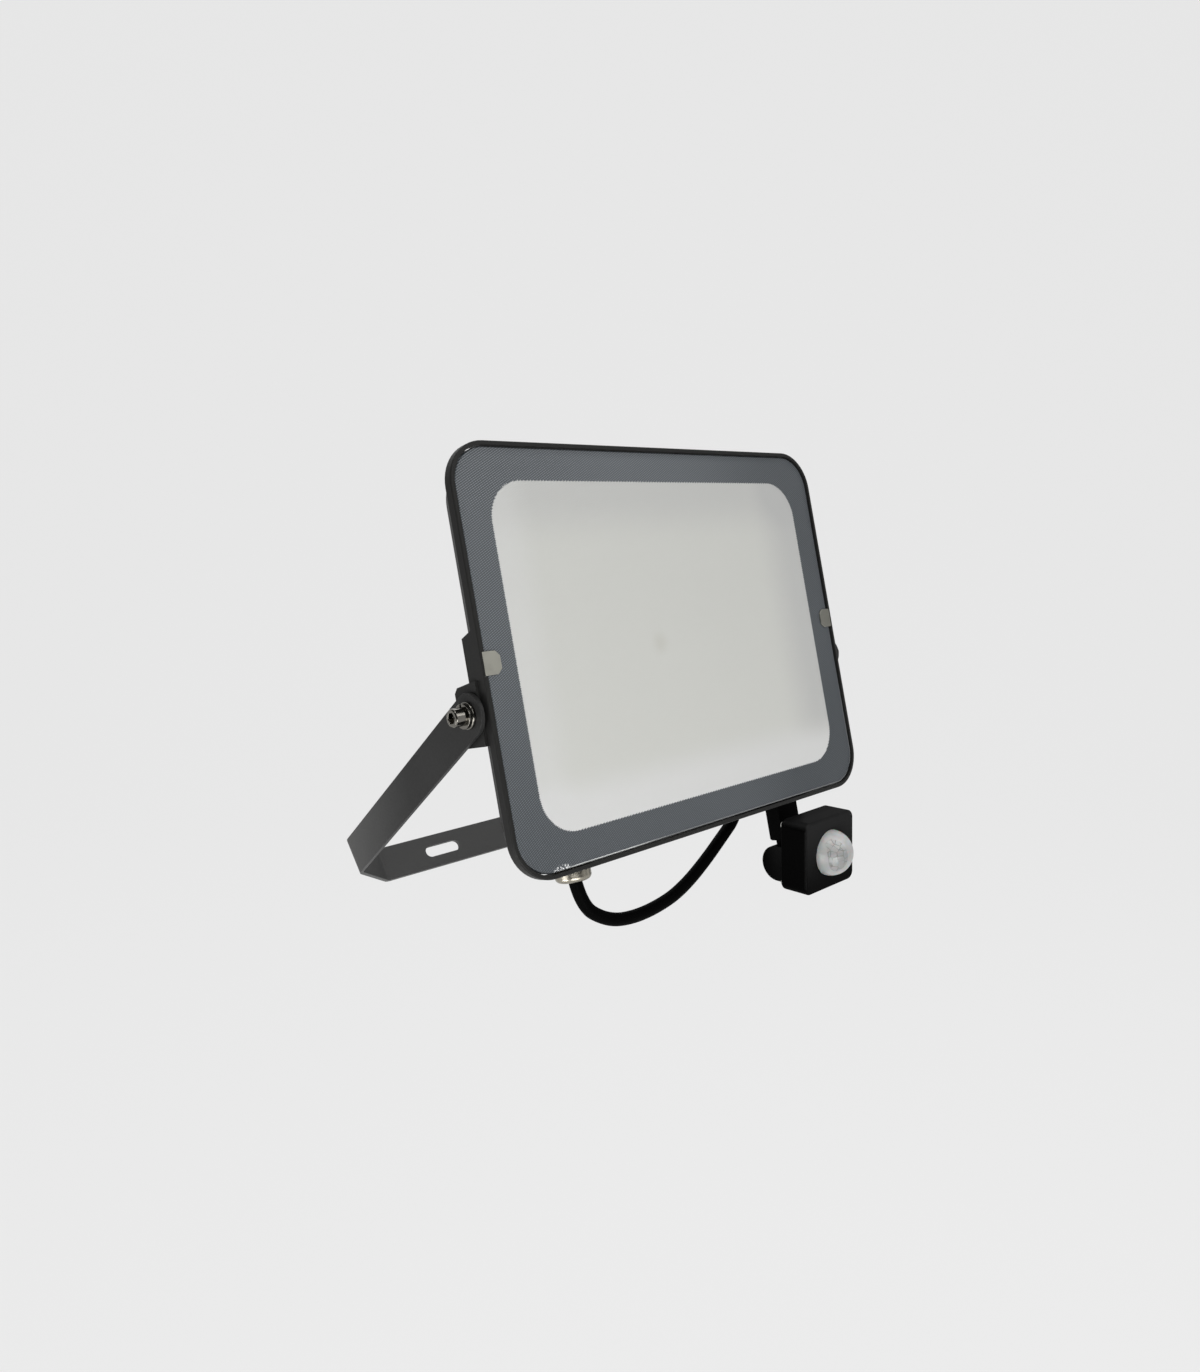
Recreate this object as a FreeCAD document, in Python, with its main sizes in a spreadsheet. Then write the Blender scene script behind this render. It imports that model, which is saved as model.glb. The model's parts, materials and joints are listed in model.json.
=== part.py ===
import FreeCAD
import Part
import math
import os
import Sketcher

# A slim wall floodlight with a motion sensor under it. The lamp hangs by two bolts in a
# U bracket and the sensor head tilts on an arm behind the lamp's lower edge.
# Row frame: X along the lamp's width, front towards -Y, Z up, origin in the middle of the
# bracket's outer face, where it meets the wall.
# Lamp frame: origin in the middle of the window, X to the right, Y up the pane, Z out of it.

doc = FreeCAD.newDocument("MotionFloodlight")
sheet = doc.addObject("Spreadsheet::Sheet", "Sizes")

driving_sizes = (
    # bracket
    ("bracket_reach", 183.3), ("strip_width", 21), ("strip_thickness", 2.2), ("corner_cut", 30),
    ("bend_radius", 5), ("leg_drop", 40.75), ("side_gap", 0.3), ("slot_length", 24.5),
    ("slot_width", 7), ("slot_offset", 65.4), ("centre_hole", 8.5),
    # rim and glass
    ("lamp_width", 271), ("lamp_height", 209.5), ("lamp_corner", 22), ("lamp_lean", 14.55),
    ("lip_width", 2.2), ("lip_front", 2), ("rim_depth", 6), ("rim_front_round", 0.9),
    ("rim_back_round", 1.4), ("glass_front", 1), ("glass_thickness", 4), ("glass_gap", 0.5),
    ("glass_bevel", 0.6), ("gasket_thickness", 1.5), ("gasket_width", 8), ("gasket_inset", 0.3),
    # die-cast casing
    ("cavity_side", 15.5), ("cavity_end", 14.25), ("cavity_corner", 16), ("cavity_depth", 18),
    ("floor_thickness", 4), ("shoulder_depth", 12), ("casing_inset", 2.9), ("shoulder_inset", 5.1),
    ("back_inset", 13), ("casing_corner", 24), ("back_corner", 20),
    ("fin_height", 8), ("fin_thickness", 2.4), ("fin_pitch", 11.5), ("fin_count", 19),
    ("fin_margin", 8.5), ("fin_slope", 9),
    # side lugs and pivot
    ("pivot_below", 22.05), ("pivot_depth", 10.23), ("lug_proud", 1.5), ("lug_top", 8.5),
    ("lug_rise", 1.7), ("lug_bottom", 37.5), ("lug_depth", 21.8), ("lug_chamfer", 2.5),
    ("lug_root", 17), ("pad_top", 16.3), ("pad_slope", 4.4), ("pad_depth", 15.8), ("pad_taper", 5),
    ("bolt_diameter", 6), ("bolt_head", 8.8), ("bolt_head_height", 6), ("bolt_socket", 5),
    ("socket_depth", 3), ("bolt_thread", 12), ("leg_clearance", 0.05), ("thread_clearance", 0.02),
    ("washer_diameter", 13), ("washer_thickness", 1.6), ("spring_washer", 12),
    ("spring_thickness", 1.7), ("spring_gap", 1.2),
    # clips over the glass
    ("clip_height", 11.2), ("clip_reach", 10), ("clip_thickness", 0.8), ("clip_corner", 2.5),
    ("clip_leg", 3.8), ("clip_notch", 1.2),
    # light engine
    ("tray_sheet", 0.8), ("tray_flange", 5), ("tray_mouth_gap", 2), ("tray_gap", 1.2),
    ("tray_lift", 0.1), ("board_width", 178), ("board_height", 109), ("board_thickness", 1.6),
    ("board_corner", 3), ("chip_width", 2.8), ("chip_height", 3.5), ("chip_thickness", 0.7),
    ("chip_columns", 12), ("chip_rows", 8), ("chip_column_pitch", 14), ("chip_row_pitch", 12.5),
    ("board_screw", 3), ("board_screw_length", 4), ("board_screw_margin", 5.5),
    # cable gland and cord
    ("gland_offset", 90), ("gland_depth", 16), ("gland_inset", 6.75), ("gland_boss_width", 26),
    ("gland_boss_back", 27), ("gland_boss_length", 14), ("gland_thread", 15.2), ("gland_hex", 17),
    ("gland_hex_height", 4), ("gland_nut_height", 10), ("gland_collar", 18.6),
    ("gland_collar_height", 5.5), ("gland_round", 2.6), ("nut_mouth", 7.6),
    ("seal_diameter", 12), ("seal_height", 5), ("seal_lift", 2), ("cord_diameter", 7),
    ("cord_fit", 0.05),
    # sensor arm with its junction chamber
    ("arm_offset", 90.35), ("stem_width", 18.9), ("stem_depth", 10), ("stem_drop", 23.5),
    ("chamber_width", 36.7), ("chamber_height", 47.5), ("chamber_drop", 2.75), ("chamber_depth", 22),
    ("chamber_wall", 2), ("chamber_floor", 4), ("chamber_corner", 2), ("cover_thickness", 2),
    ("arm_screw_spacing", 26), ("arm_screw_inset", 7), ("wire_hole", 6), ("post_diameter", 5.5),
    ("grommet_rise", 8.5), ("grommet_depth", 33.5), ("grommet_flange", 12.4),
    ("grommet_body", 9.4), ("grommet_lip", 1.5), ("grommet_snap", 0.5), ("block_length", 16),
    ("block_width", 15), ("block_height", 9),
    ("tongue_drop", 13.8), ("knuckle_behind", 7), ("tongue_width", 9), ("tongue_radius", 10),
    # sensor head
    ("head_lean", 3), ("head_width", 48.2), ("head_height", 43.8), ("head_corner", 5),
    ("head_front", 31.8), ("head_split", 20.3), ("head_back", 13), ("head_bottom", 10.6),
    ("head_wall", 1.8), ("head_edge", 1.5), ("ear_radius", 11), ("ear_outside", 11.05),
    ("ear_gap", 0.3), ("dome_diameter", 27.6), ("dome_height", 13.6), ("dome_wall", 0.8),
    ("dome_flange", 30), ("dome_flange_height", 1.2), ("dome_fit", 0.1),
    ("knuckle_screw", 4), ("knuckle_head", 7.4), ("knuckle_head_height", 2.6), ("knuckle_nut", 7),
    ("nut_height", 3.2), ("screw_tip", 0.4), ("sensor_board_width", 41),
    ("sensor_board_height", 37), ("sensor_board_lift", 2), ("sensor_board_thickness", 1.2),
    ("shell_screw_inset", 4.1), ("shell_screw", 2.5), ("shell_boss", 6), ("shell_screw_length", 14),
    ("element_diameter", 9.2), ("element_height", 4.2), ("trimmer_diameter", 6),
    ("trimmer_spacing", 12), ("trimmer_forward", 24.8), ("trimmer_stem", 3), ("trimmer_slot", 1),
    ("trimmer_proud", 0.4), ("trimmer_head", 2.8), ("trimmer_stem_length", 2.4),
    ("pot_width", 7), ("pot_height", 3),
)


class Size:
    """A length with its value and the spreadsheet formula that gives it."""

    def __init__(self, value, formula):
        self.value = value
        self.formula = formula

    def joined(self, other, sign, swap=False):
        first, second = (other, self) if swap else (self, other)
        a, b = value_of(first), value_of(second)
        value = {"+": a + b, "-": a - b, "*": a * b, "/": a / b if sign == "/" else 0}[sign]
        return Size(value, f"({formula_of(first)} {sign} {formula_of(second)})")

    def __add__(self, other):
        return self.joined(other, "+")

    def __sub__(self, other):
        return self.joined(other, "-")

    def __mul__(self, other):
        return self.joined(other, "*")

    def __truediv__(self, other):
        return self.joined(other, "/")

    def __radd__(self, other):
        return self.joined(other, "+", swap=True)

    def __rsub__(self, other):
        return self.joined(other, "-", swap=True)

    def __rmul__(self, other):
        return self.joined(other, "*", swap=True)

    def __neg__(self):
        return self.joined(-1, "*")


def value_of(size):
    return size.value if isinstance(size, Size) else size


def formula_of(size):
    return size.formula if isinstance(size, Size) else f"{size:.6f}"


class Sizes:
    """Each driving size under its own name."""


s = Sizes()
for row, (name, value) in enumerate(driving_sizes, 1):
    sheet.set(f"A{row}", name)
    sheet.set(f"B{row}", str(value))
    sheet.setAlias(f"B{row}", name)
    setattr(s, name, Size(value, f"Sizes.{name}"))
doc.recompute()

# What moves with the lamp's rim, and with the chamber that hangs from it
s.cavity_width = s.lamp_width - 2 * s.cavity_side
s.cavity_height = s.lamp_height - 2 * s.cavity_end
s.fin_length = s.cavity_height - 2 * s.fin_margin
s.gland_face = s.lamp_height / 2 - s.gland_inset
s.chamber_bottom = s.lamp_height / 2 + s.chamber_drop
s.chamber_top = s.chamber_bottom - s.chamber_height
s.arm_screw_top = s.chamber_top + s.arm_screw_inset
s.grommet_below = s.chamber_bottom - s.grommet_rise
s.stem_end = s.chamber_bottom + s.stem_drop
s.knuckle_below = s.stem_end + s.tongue_drop


# Building blocks

def vec(x=0, y=0, z=0):
    return FreeCAD.Vector(value_of(x), value_of(y), value_of(z))


def turned(axis, degrees):
    return FreeCAD.Rotation(axis, value_of(degrees))


def placed(rotation, x=0, y=0, z=0):
    return FreeCAD.Placement(vec(x, y, z), rotation)


x_axis, y_axis, z_axis = vec(1, 0, 0), vec(0, 1, 0), vec(0, 0, 1)
upright = turned(z_axis, 0)
parts = {}


def new_body(label, placement):
    body = doc.addObject("PartDesign::Body", "Body")
    body.Label = label
    body.Placement = placement
    parts[label] = body
    return body


def bind(item, prop, size):
    if isinstance(size, Size):
        item.setExpression(prop, size.formula)
    elif size:
        setattr(item, prop, size)


def new_sketch(body, plane="XY_Plane", offset=0):
    sketch = body.newObject("Sketcher::SketchObject", "Sketch")
    origin_plane = next(f for f in body.Origin.OriginFeatures if f.Role == plane)
    sketch.AttachmentSupport = [(origin_plane, "")]
    sketch.MapMode = "FlatFace"
    if isinstance(offset, Size):
        sketch.setExpression("AttachmentOffset.Base.z", offset.formula)
    return sketch


def dimension(sketch, kind, where, size):
    index = sketch.addConstraint(Sketcher.Constraint(kind, *where, value_of(size)))
    if isinstance(size, Size):
        name = f"size{index}"
        sketch.renameConstraint(index, name)
        sketch.setExpression(f"Constraints.{name}", size.formula)


def fix_point(sketch, line, end, x, y):
    """Hold one end of a line at x, y from the sketch's origin."""
    for kind, axis, size in (("DistanceX", -2, x), ("DistanceY", -1, y)):
        if isinstance(size, Size):
            dimension(sketch, kind, (-1, 1, line, end), size)
        else:
            sketch.addConstraint(Sketcher.Constraint("PointOnObject", line, end, axis))


def outline(sketch, points, arcs=()):
    """A closed outline through the points. arcs maps a side to its radius and its middle point."""
    arcs = dict(arcs)
    sides = []
    for i, start in enumerate(points):
        end = points[(i + 1) % len(points)]
        if i in arcs:
            middle = arcs[i][1]
            side = Part.Arc(vec(*start), vec(*middle), vec(*end))
        else:
            side = Part.LineSegment(vec(*start), vec(*end))
        sides.append(sketch.addGeometry(side, False))
    ends = []
    for i, side in enumerate(sides):
        start_end = sketch.getPoint(side, 1)
        ends.append((1, 2) if (start_end - vec(*points[i])).Length < 1e-6 else (2, 1))
    for i, side in enumerate(sides):
        following = (i + 1) % len(sides)
        sketch.addConstraint(Sketcher.Constraint(
            "Coincident", side, ends[i][1], sides[following], ends[following][0]))
        fix_point(sketch, side, ends[i][0], *points[i])
        if i in arcs:
            dimension(sketch, "Radius", (side,), arcs[i][0])
    return sketch


def rounded_box(sketch, width, height, corner, x=0, y=0):
    """A rectangle with round corners about x, y."""
    left, right = x - width / 2, x + width / 2
    low, high = y - height / 2, y + height / 2
    x0, x1, y0, y1 = (value_of(e) for e in (left, right, low, high))
    r = value_of(corner)
    runs = (((x0 + r, y0), (x1 - r, y0)), ((x1, y0 + r), (x1, y1 - r)),
            ((x1 - r, y1), (x0 + r, y1)), ((x0, y1 - r), (x0, y0 + r)))
    centres = ((x1 - r, y0 + r), (x1 - r, y1 - r), (x0 + r, y1 - r), (x0 + r, y0 + r))
    lines = [sketch.addGeometry(Part.LineSegment(vec(*a), vec(*b)), False) for a, b in runs]
    rounds = []
    for quarter, centre in enumerate(centres):
        start = (quarter - 1) * math.pi / 2
        circle = Part.Circle(vec(*centre), z_axis, r)
        rounds.append(sketch.addGeometry(Part.ArcOfCircle(circle, start, start + math.pi / 2), False))
    for i in range(4):
        sketch.addConstraint(Sketcher.Constraint("Tangent", lines[i], 2, rounds[i], 1))
        sketch.addConstraint(Sketcher.Constraint("Tangent", rounds[i], 2, lines[(i + 1) % 4], 1))
        sketch.addConstraint(Sketcher.Constraint("Vertical" if i % 2 else "Horizontal", lines[i]))
    for i in (1, 2, 3):
        sketch.addConstraint(Sketcher.Constraint("Equal", rounds[0], rounds[i]))
    dimension(sketch, "Radius", (rounds[0],), corner)
    for kind, line, size in (("DistanceX", 3, left), ("DistanceX", 1, right),
                             ("DistanceY", 0, low), ("DistanceY", 2, high)):
        dimension(sketch, kind, (-1, 1, lines[line], 1), size)
    return sketch


def rectangle(sketch, left, right, low, high):
    return outline(sketch, ((left, low), (right, low), (right, high), (left, high)))


def circle(sketch, diameter, x=0, y=0):
    ring = sketch.addGeometry(Part.Circle(vec(x, y), z_axis, value_of(diameter) / 2), False)
    dimension(sketch, "Diameter", (ring,), diameter)
    fix_point(sketch, ring, 3, x, y)
    return sketch


def hexagon(sketch, across, turn=0):
    """A hexagon about the origin, across its flats."""
    points = []
    for i in range(6):
        angle = math.radians(60 * i + turn)
        corner = across / 2 / math.cos(math.pi / 6)
        spots = [corner * math.cos(angle), corner * math.sin(angle)]
        points.append(tuple(0 if abs(value_of(p)) < 1e-9 else p for p in spots))
    return outline(sketch, points)


def pad(body, sketch, length, both_sides=False, back=False):
    feature = body.newObject("PartDesign::Pad", "Pad")
    feature.Profile = sketch
    bind(feature, "Length", length)
    if both_sides:
        feature.SideType = "Symmetric"
    feature.Reversed = back
    doc.recompute()
    return feature


def cut(body, sketch, depth=None, both_sides=False, back=False):
    """A pocket of the depth, or through all. It has to take something away."""
    before = body.Shape.Volume
    feature = body.newObject("PartDesign::Pocket", "Pocket")
    feature.Profile = sketch
    if depth is None:
        feature.Type = "ThroughAll"
    else:
        bind(feature, "Length", depth)
    if both_sides:
        feature.SideType = "Symmetric"
    feature.Reversed = back
    doc.recompute()
    if body.Shape.Volume >= before - 1e-6:
        raise RuntimeError(f"{body.Label}: a pocket cuts nothing")
    return feature


def spin(body, sketch):
    feature = body.newObject("PartDesign::Revolution", "Revolution")
    feature.Profile = sketch
    feature.ReferenceAxis = (sketch, ["V_Axis"])
    feature.Angle = 360
    doc.recompute()
    return feature


def loft(body, sections, kind="PartDesign::AdditiveLoft"):
    feature = body.newObject(kind, "Loft")
    feature.Profile = sections[0]
    feature.Sections = sections[1:]
    feature.Ruled = True
    doc.recompute()
    return feature


def edges_where(shape, test):
    """Names of the edges whose every end and middle passes the test."""
    names = []
    for number, edge in enumerate(shape.Edges, 1):
        middle = edge.valueAt((edge.FirstParameter + edge.LastParameter) / 2)
        spots = [vertex.Point for vertex in edge.Vertexes] + [middle]
        if all(test(spot) for spot in spots):
            names.append(f"Edge{number}")
    return names


def dress(body, kind, test, prop, size):
    """Fillet or chamfer the edges of the body that pass the test."""
    base = body.Tip
    feature = body.newObject(f"PartDesign::{kind}", kind)
    feature.Base = (base, edges_where(base.Shape, test))
    bind(feature, prop, size)
    doc.recompute()
    return feature


def fillet(body, test, radius):
    return dress(body, "Fillet", test, "Radius", radius)


def chamfer(body, test, width):
    return dress(body, "Chamfer", test, "Size", width)


def near(a, b):
    return abs(a - value_of(b)) < 0.01


def mirror(body, features, plane="YZ_Plane"):
    feature = body.newObject("PartDesign::Mirrored", "Mirrored")
    feature.Originals = features
    origin_plane = next(f for f in body.Origin.OriginFeatures if f.Role == plane)
    feature.MirrorPlane = (origin_plane, [""])
    body.Tip = feature
    doc.recompute()
    return feature


def repeat(body, features, axis, count, pitch):
    feature = body.newObject("PartDesign::LinearPattern", "LinearPattern")
    feature.Originals = features
    line = next(f for f in body.Origin.OriginFeatures if f.Role == axis)
    feature.Direction = (line, [""])
    feature.Mode = "Spacing"
    bind(feature, "Offset", pitch)
    bind(feature, "Occurrences", count)
    body.Tip = feature
    doc.recompute()
    return feature


def group(label, shapes):
    """Identical small pieces that share one file, each a solid of its own."""
    item = doc.addObject("Part::Feature", "Group")
    item.Label = label
    item.Shape = Part.makeCompound(shapes)
    parts[label] = item
    return item


def copies(body, placements):
    """The body's solid at each placement; the body itself stays out of the part list."""
    parts.pop(body.Label)
    solid = body.Shape.copy()
    solid.Placement = FreeCAD.Placement()
    shapes = []
    for placement in placements:
        shape = solid.copy()
        shape.Placement = placement
        shapes.append(shape)
    return shapes


# Frames

wall_to_pivot = turned(x_axis, 90 - s.leg_drop.value)
bracket_frame = placed(wall_to_pivot)
pivot = wall_to_pivot.multVec(vec(0, 0, s.bracket_reach))
lamp_turn = turned(x_axis, 90 - s.lamp_lean.value)
lamp_frame = FreeCAD.Placement(
    pivot - lamp_turn.multVec(vec(0, -s.pivot_below, -s.pivot_depth)), lamp_turn)
knuckle_level = -(s.cavity_depth + s.floor_thickness + s.knuckle_behind)
knuckle = lamp_frame.multVec(vec(s.arm_offset, -s.knuckle_below, knuckle_level))
head_frame = FreeCAD.Placement(knuckle, turned(x_axis, 90 - s.head_lean.value))


def in_lamp(rotation=upright, x=0, y=0, z=0):
    return lamp_frame * placed(rotation, x, y, z)


def in_head(rotation=upright, x=0, y=0, z=0):
    return head_frame * placed(rotation, x, y, z)


# Levels in the lamp frame, measured along Z

glass_back = s.glass_front - s.glass_thickness
ledge = glass_back - s.gasket_thickness
rim_back = s.lip_front - s.rim_depth
floor_level = -s.cavity_depth
back_level = -s.cavity_depth - s.floor_thickness
lug_face = s.lamp_width / 2 + s.lug_proud
leg_inside = lug_face + s.side_gap
leg_outside = leg_inside + s.strip_thickness


# Bracket

def make_bracket():
    """One strip, bent four times, with round ends and slots in its crossbar."""
    body = new_body("bracket", bracket_frame)
    thick = s.strip_thickness
    inner_run = s.corner_cut + thick * (math.sqrt(2) - 1)
    a, b, top = leg_outside, leg_inside, s.bracket_reach
    sketch = outline(new_sketch(body, "XZ_Plane"), (
        (-a, top), (-a, s.corner_cut), (s.corner_cut - a, 0), (a - s.corner_cut, 0),
        (a, s.corner_cut), (a, top), (b, top), (b, inner_run),
        (a - inner_run, thick), (inner_run - a, thick), (-b, inner_run), (-b, top)))
    pad(body, sketch, s.strip_width, both_sides=True)
    end = circle(new_sketch(body, "YZ_Plane", leg_inside), s.strip_width, 0, top)
    leg_end = pad(body, end, thick)
    mirror(body, [leg_end])

    def bend(spot, level, cross):
        leg_line = near(abs(spot.x), a if level is s.corner_cut else b) and near(spot.z, level)
        bar_line = near(spot.z, cross) and near(abs(spot.x), a - level)
        return leg_line or bar_line

    fillet(body, lambda spot: bend(spot, s.corner_cut, 0), s.bend_radius + thick)
    fillet(body, lambda spot: bend(spot, inner_run, thick), s.bend_radius)
    pivot_hole = s.bolt_diameter + 2 * s.leg_clearance
    cut(body, circle(new_sketch(body, "YZ_Plane"), pivot_hole, 0, top), both_sides=True)
    openings = circle(new_sketch(body), s.centre_hole)
    for x in (-s.slot_offset, s.slot_offset):
        rounded_box(openings, s.slot_length, s.slot_width, s.slot_width / 2 - 0.001, x)
    cut(body, openings, both_sides=True)


# Housing

def casing_section(body, level, inset, corner):
    return rounded_box(new_sketch(body, "XY_Plane", level),
                       s.lamp_width - 2 * inset, s.lamp_height - 2 * inset, corner)


def add_lugs(body):
    """The thicker wall on each side, flush with the rim, and the pivot lug on it."""
    side, front = s.lamp_width / 2, rim_back + s.rim_back_round
    wall = new_sketch(body, "YZ_Plane", -side)
    outline(wall, (
        (s.pad_top, front), (s.pad_top - s.pad_slope, -s.pad_depth),
        (-s.lug_bottom, -s.pad_depth), (-s.lug_bottom, front)))
    side_pad = pad(body, wall, side - s.cavity_width / 2)
    mirror(body, [side_pad])
    chamfer(body, lambda spot: near(abs(spot.x), side) and near(spot.z, -s.pad_depth), s.pad_taper)
    profile = new_sketch(body, "YZ_Plane", -lug_face)
    outline(profile, (
        (s.lug_rise - s.lug_top, rim_back), (-s.lug_top, s.lug_chamfer - s.lug_depth),
        (-s.lug_top - s.lug_chamfer, -s.lug_depth), (-s.lug_bottom, -s.lug_depth),
        (-s.lug_bottom, rim_back)))
    lug = pad(body, profile, s.lug_root)
    mirror(body, [lug])


def add_fins(body):
    """Cooling fins down the back, with sloping ends, cut away where the arm is fixed."""
    half, run = s.fin_length / 2, s.fin_slope
    tip = back_level - s.fin_height
    first = -(s.fin_count - 1) * s.fin_pitch / 2
    profile = new_sketch(body, "YZ_Plane", first)
    outline(profile, (
        (-half - run, back_level), (half + run, back_level), (half, tip), (-half, tip)))
    fin = pad(body, profile, s.fin_thickness, both_sides=True)
    repeat(body, [fin], "X_Axis", s.fin_count, s.fin_pitch)
    margin = s.fin_pitch / 4
    seat = rectangle(new_sketch(body, "XY_Plane", back_level),
                     s.arm_offset - s.chamber_width / 2 - margin,
                     s.arm_offset + s.chamber_width / 2 + margin,
                     -s.lamp_height / 2, -s.chamber_top + margin)
    cut(body, seat, s.fin_height + s.fin_height / 2)


def screw_spots():
    """Board screws: one in the middle and one near each corner."""
    x = s.board_width / 2 - s.board_screw_margin
    y = s.board_height / 2 - s.board_screw_margin
    return ((0, 0), (x, y), (-x, y), (-x, -y), (x, -y))


def arm_screw_spots():
    low = -s.arm_screw_top - s.arm_screw_spacing
    return ((s.arm_offset, -s.arm_screw_top), (s.arm_offset, low))


def make_housing():
    body = new_body("housing", lamp_frame)
    rim = rounded_box(new_sketch(body, "XY_Plane", rim_back), s.lamp_width, s.lamp_height,
                      s.lamp_corner)
    pad(body, rim, s.rim_depth)
    fillet(body, lambda spot: near(spot.z, s.lip_front), s.rim_front_round)
    fillet(body, lambda spot: near(spot.z, rim_back), s.rim_back_round)
    loft(body, [casing_section(body, rim_back, s.casing_inset, s.casing_corner),
                casing_section(body, -s.shoulder_depth, s.shoulder_inset, s.casing_corner),
                casing_section(body, back_level, s.back_inset, s.back_corner)])
    add_lugs(body)
    half_boss = s.gland_boss_width / 2
    boss = rectangle(new_sketch(body, "XZ_Plane", s.gland_face),
                     -s.gland_offset - half_boss, half_boss - s.gland_offset,
                     -s.gland_boss_back, rim_back)
    pad(body, boss, s.gland_boss_length, back=True)
    add_fins(body)
    recess = rounded_box(new_sketch(body, "XY_Plane", s.lip_front),
                         s.lamp_width - 2 * s.lip_width, s.lamp_height - 2 * s.lip_width,
                         s.lamp_corner - s.lip_width)
    cut(body, recess, s.lip_front - ledge)
    gland_seat = rectangle(new_sketch(body, "XZ_Plane", s.gland_face),
                           -s.gland_offset - half_boss, half_boss - s.gland_offset,
                           -s.gland_boss_back, rim_back - s.side_gap)
    cut(body, gland_seat, s.lamp_height / 2 - s.gland_face, back=True)
    cavity = rounded_box(new_sketch(body, "XY_Plane", ledge), s.cavity_width, s.cavity_height,
                         s.cavity_corner)
    cut(body, cavity, ledge - floor_level)
    inside_lip = s.lamp_width / 2 - s.lip_width
    notch = rectangle(new_sketch(body, "XY_Plane", s.lip_front),
                      -inside_lip - s.clip_notch, -inside_lip + s.clip_notch,
                      -s.clip_height / 2 - s.side_gap, s.clip_height / 2 + s.side_gap)
    first_notch = cut(body, notch, s.lip_front - s.glass_front + s.clip_leg + s.side_gap)
    mirror(body, [first_notch])
    threaded = s.bolt_diameter + 2 * s.thread_clearance
    bolt_hole = circle(new_sketch(body, "YZ_Plane", -lug_face), threaded,
                       -s.pivot_below, -s.pivot_depth)
    first_hole = cut(body, bolt_hole, s.bolt_thread, back=True)
    mirror(body, [first_hole])
    gland_hole = circle(new_sketch(body, "XZ_Plane", s.gland_face),
                        s.gland_thread + 2 * s.thread_clearance, -s.gland_offset, -s.gland_depth)
    cut(body, gland_hole, s.gland_face - s.cavity_height / 2 + s.thread_clearance)
    drilled = new_sketch(body, "XY_Plane", floor_level)
    for x, y in screw_spots():
        circle(drilled, s.board_screw + 2 * s.thread_clearance, x, y)
    cut(body, drilled, s.floor_thickness - 1)
    arm_holes = new_sketch(body, "XY_Plane", back_level)
    for x, y in arm_screw_spots():
        circle(arm_holes, s.board_screw + 2 * s.thread_clearance, x, y)
    cut(body, arm_holes, s.floor_thickness - 1, back=True)
    wire = circle(new_sketch(body, "XY_Plane", back_level), s.wire_hole, s.arm_offset,
                  -(s.arm_screw_top + s.arm_screw_spacing / 2))
    cut(body, wire, s.floor_thickness, back=True)


# Glass, gasket and clips

def glass_sizes(inset=0):
    edge = s.lip_width + s.glass_gap + inset
    return s.lamp_width - 2 * edge, s.lamp_height - 2 * edge, s.lamp_corner - edge


def make_glass():
    body = new_body("glass_panel", lamp_frame)
    pad(body, rounded_box(new_sketch(body, "XY_Plane", glass_back), *glass_sizes()),
        s.glass_thickness)
    chamfer(body, lambda spot: near(spot.z, s.glass_front), s.glass_bevel)


def make_gasket():
    body = new_body("glass_gasket", lamp_frame)
    ring = new_sketch(body, "XY_Plane", ledge)
    rounded_box(ring, *glass_sizes(s.gasket_inset))
    rounded_box(ring, *glass_sizes(s.gasket_inset + s.gasket_width))
    pad(body, ring, s.gasket_thickness)


def make_clip(label, side):
    """A steel clip that hooks into the lip and lies on the glass."""
    body = new_body(label, in_lamp(turned(z_axis, 0 if side > 0 else 180)))
    outer = s.lamp_width / 2 - s.lip_width + s.clip_notch - s.side_gap / 3
    inner = outer - s.clip_reach
    half = s.clip_height / 2
    plate = new_sketch(body, "XY_Plane", s.glass_front)
    outline(plate, (
        (outer, -half), (outer, half), (inner + s.clip_corner, half),
        (inner, half - s.clip_corner), (inner, s.clip_corner - half),
        (inner + s.clip_corner, -half)))
    pad(body, plate, s.clip_thickness)
    leg = rectangle(new_sketch(body, "XY_Plane", s.glass_front), outer - s.clip_thickness, outer,
                    -half, half)
    pad(body, leg, s.clip_leg, back=True)


# Light engine

def tray_section(body, level, half_gap, width, height, corner):
    return rounded_box(new_sketch(body, "XY_Plane", level), width - 2 * half_gap,
                       height - 2 * half_gap, corner)


def make_tray():
    """White reflector: a flange on the ledge and four sloping walls down to the board."""
    body = new_body("reflector_tray", lamp_frame)
    mouth_width = s.cavity_width - 2 * s.tray_mouth_gap
    mouth_height = s.cavity_height - 2 * s.tray_mouth_gap
    foot_width = s.board_width + 2 * s.tray_gap
    foot_height = s.board_height + 2 * s.tray_gap
    foot = floor_level + s.tray_lift
    flange = rounded_box(new_sketch(body, "XY_Plane", ledge), mouth_width + 2 * s.tray_flange,
                         mouth_height + 2 * s.tray_flange, s.cavity_corner)
    pad(body, flange, s.tray_sheet)
    wall = 2 * s.tray_sheet
    loft(body, [
        rounded_box(new_sketch(body, "XY_Plane", ledge), mouth_width, mouth_height,
                    s.cavity_corner - s.tray_mouth_gap),
        rounded_box(new_sketch(body, "XY_Plane", foot), foot_width + wall, foot_height + wall,
                    s.board_corner + s.tray_sheet)])
    loft(body, [
        rounded_box(new_sketch(body, "XY_Plane", ledge + s.tray_sheet), mouth_width - wall,
                    mouth_height - wall, s.cavity_corner - s.tray_mouth_gap - s.tray_sheet),
        rounded_box(new_sketch(body, "XY_Plane", foot), foot_width, foot_height, s.board_corner)],
        "PartDesign::SubtractiveLoft")


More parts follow.
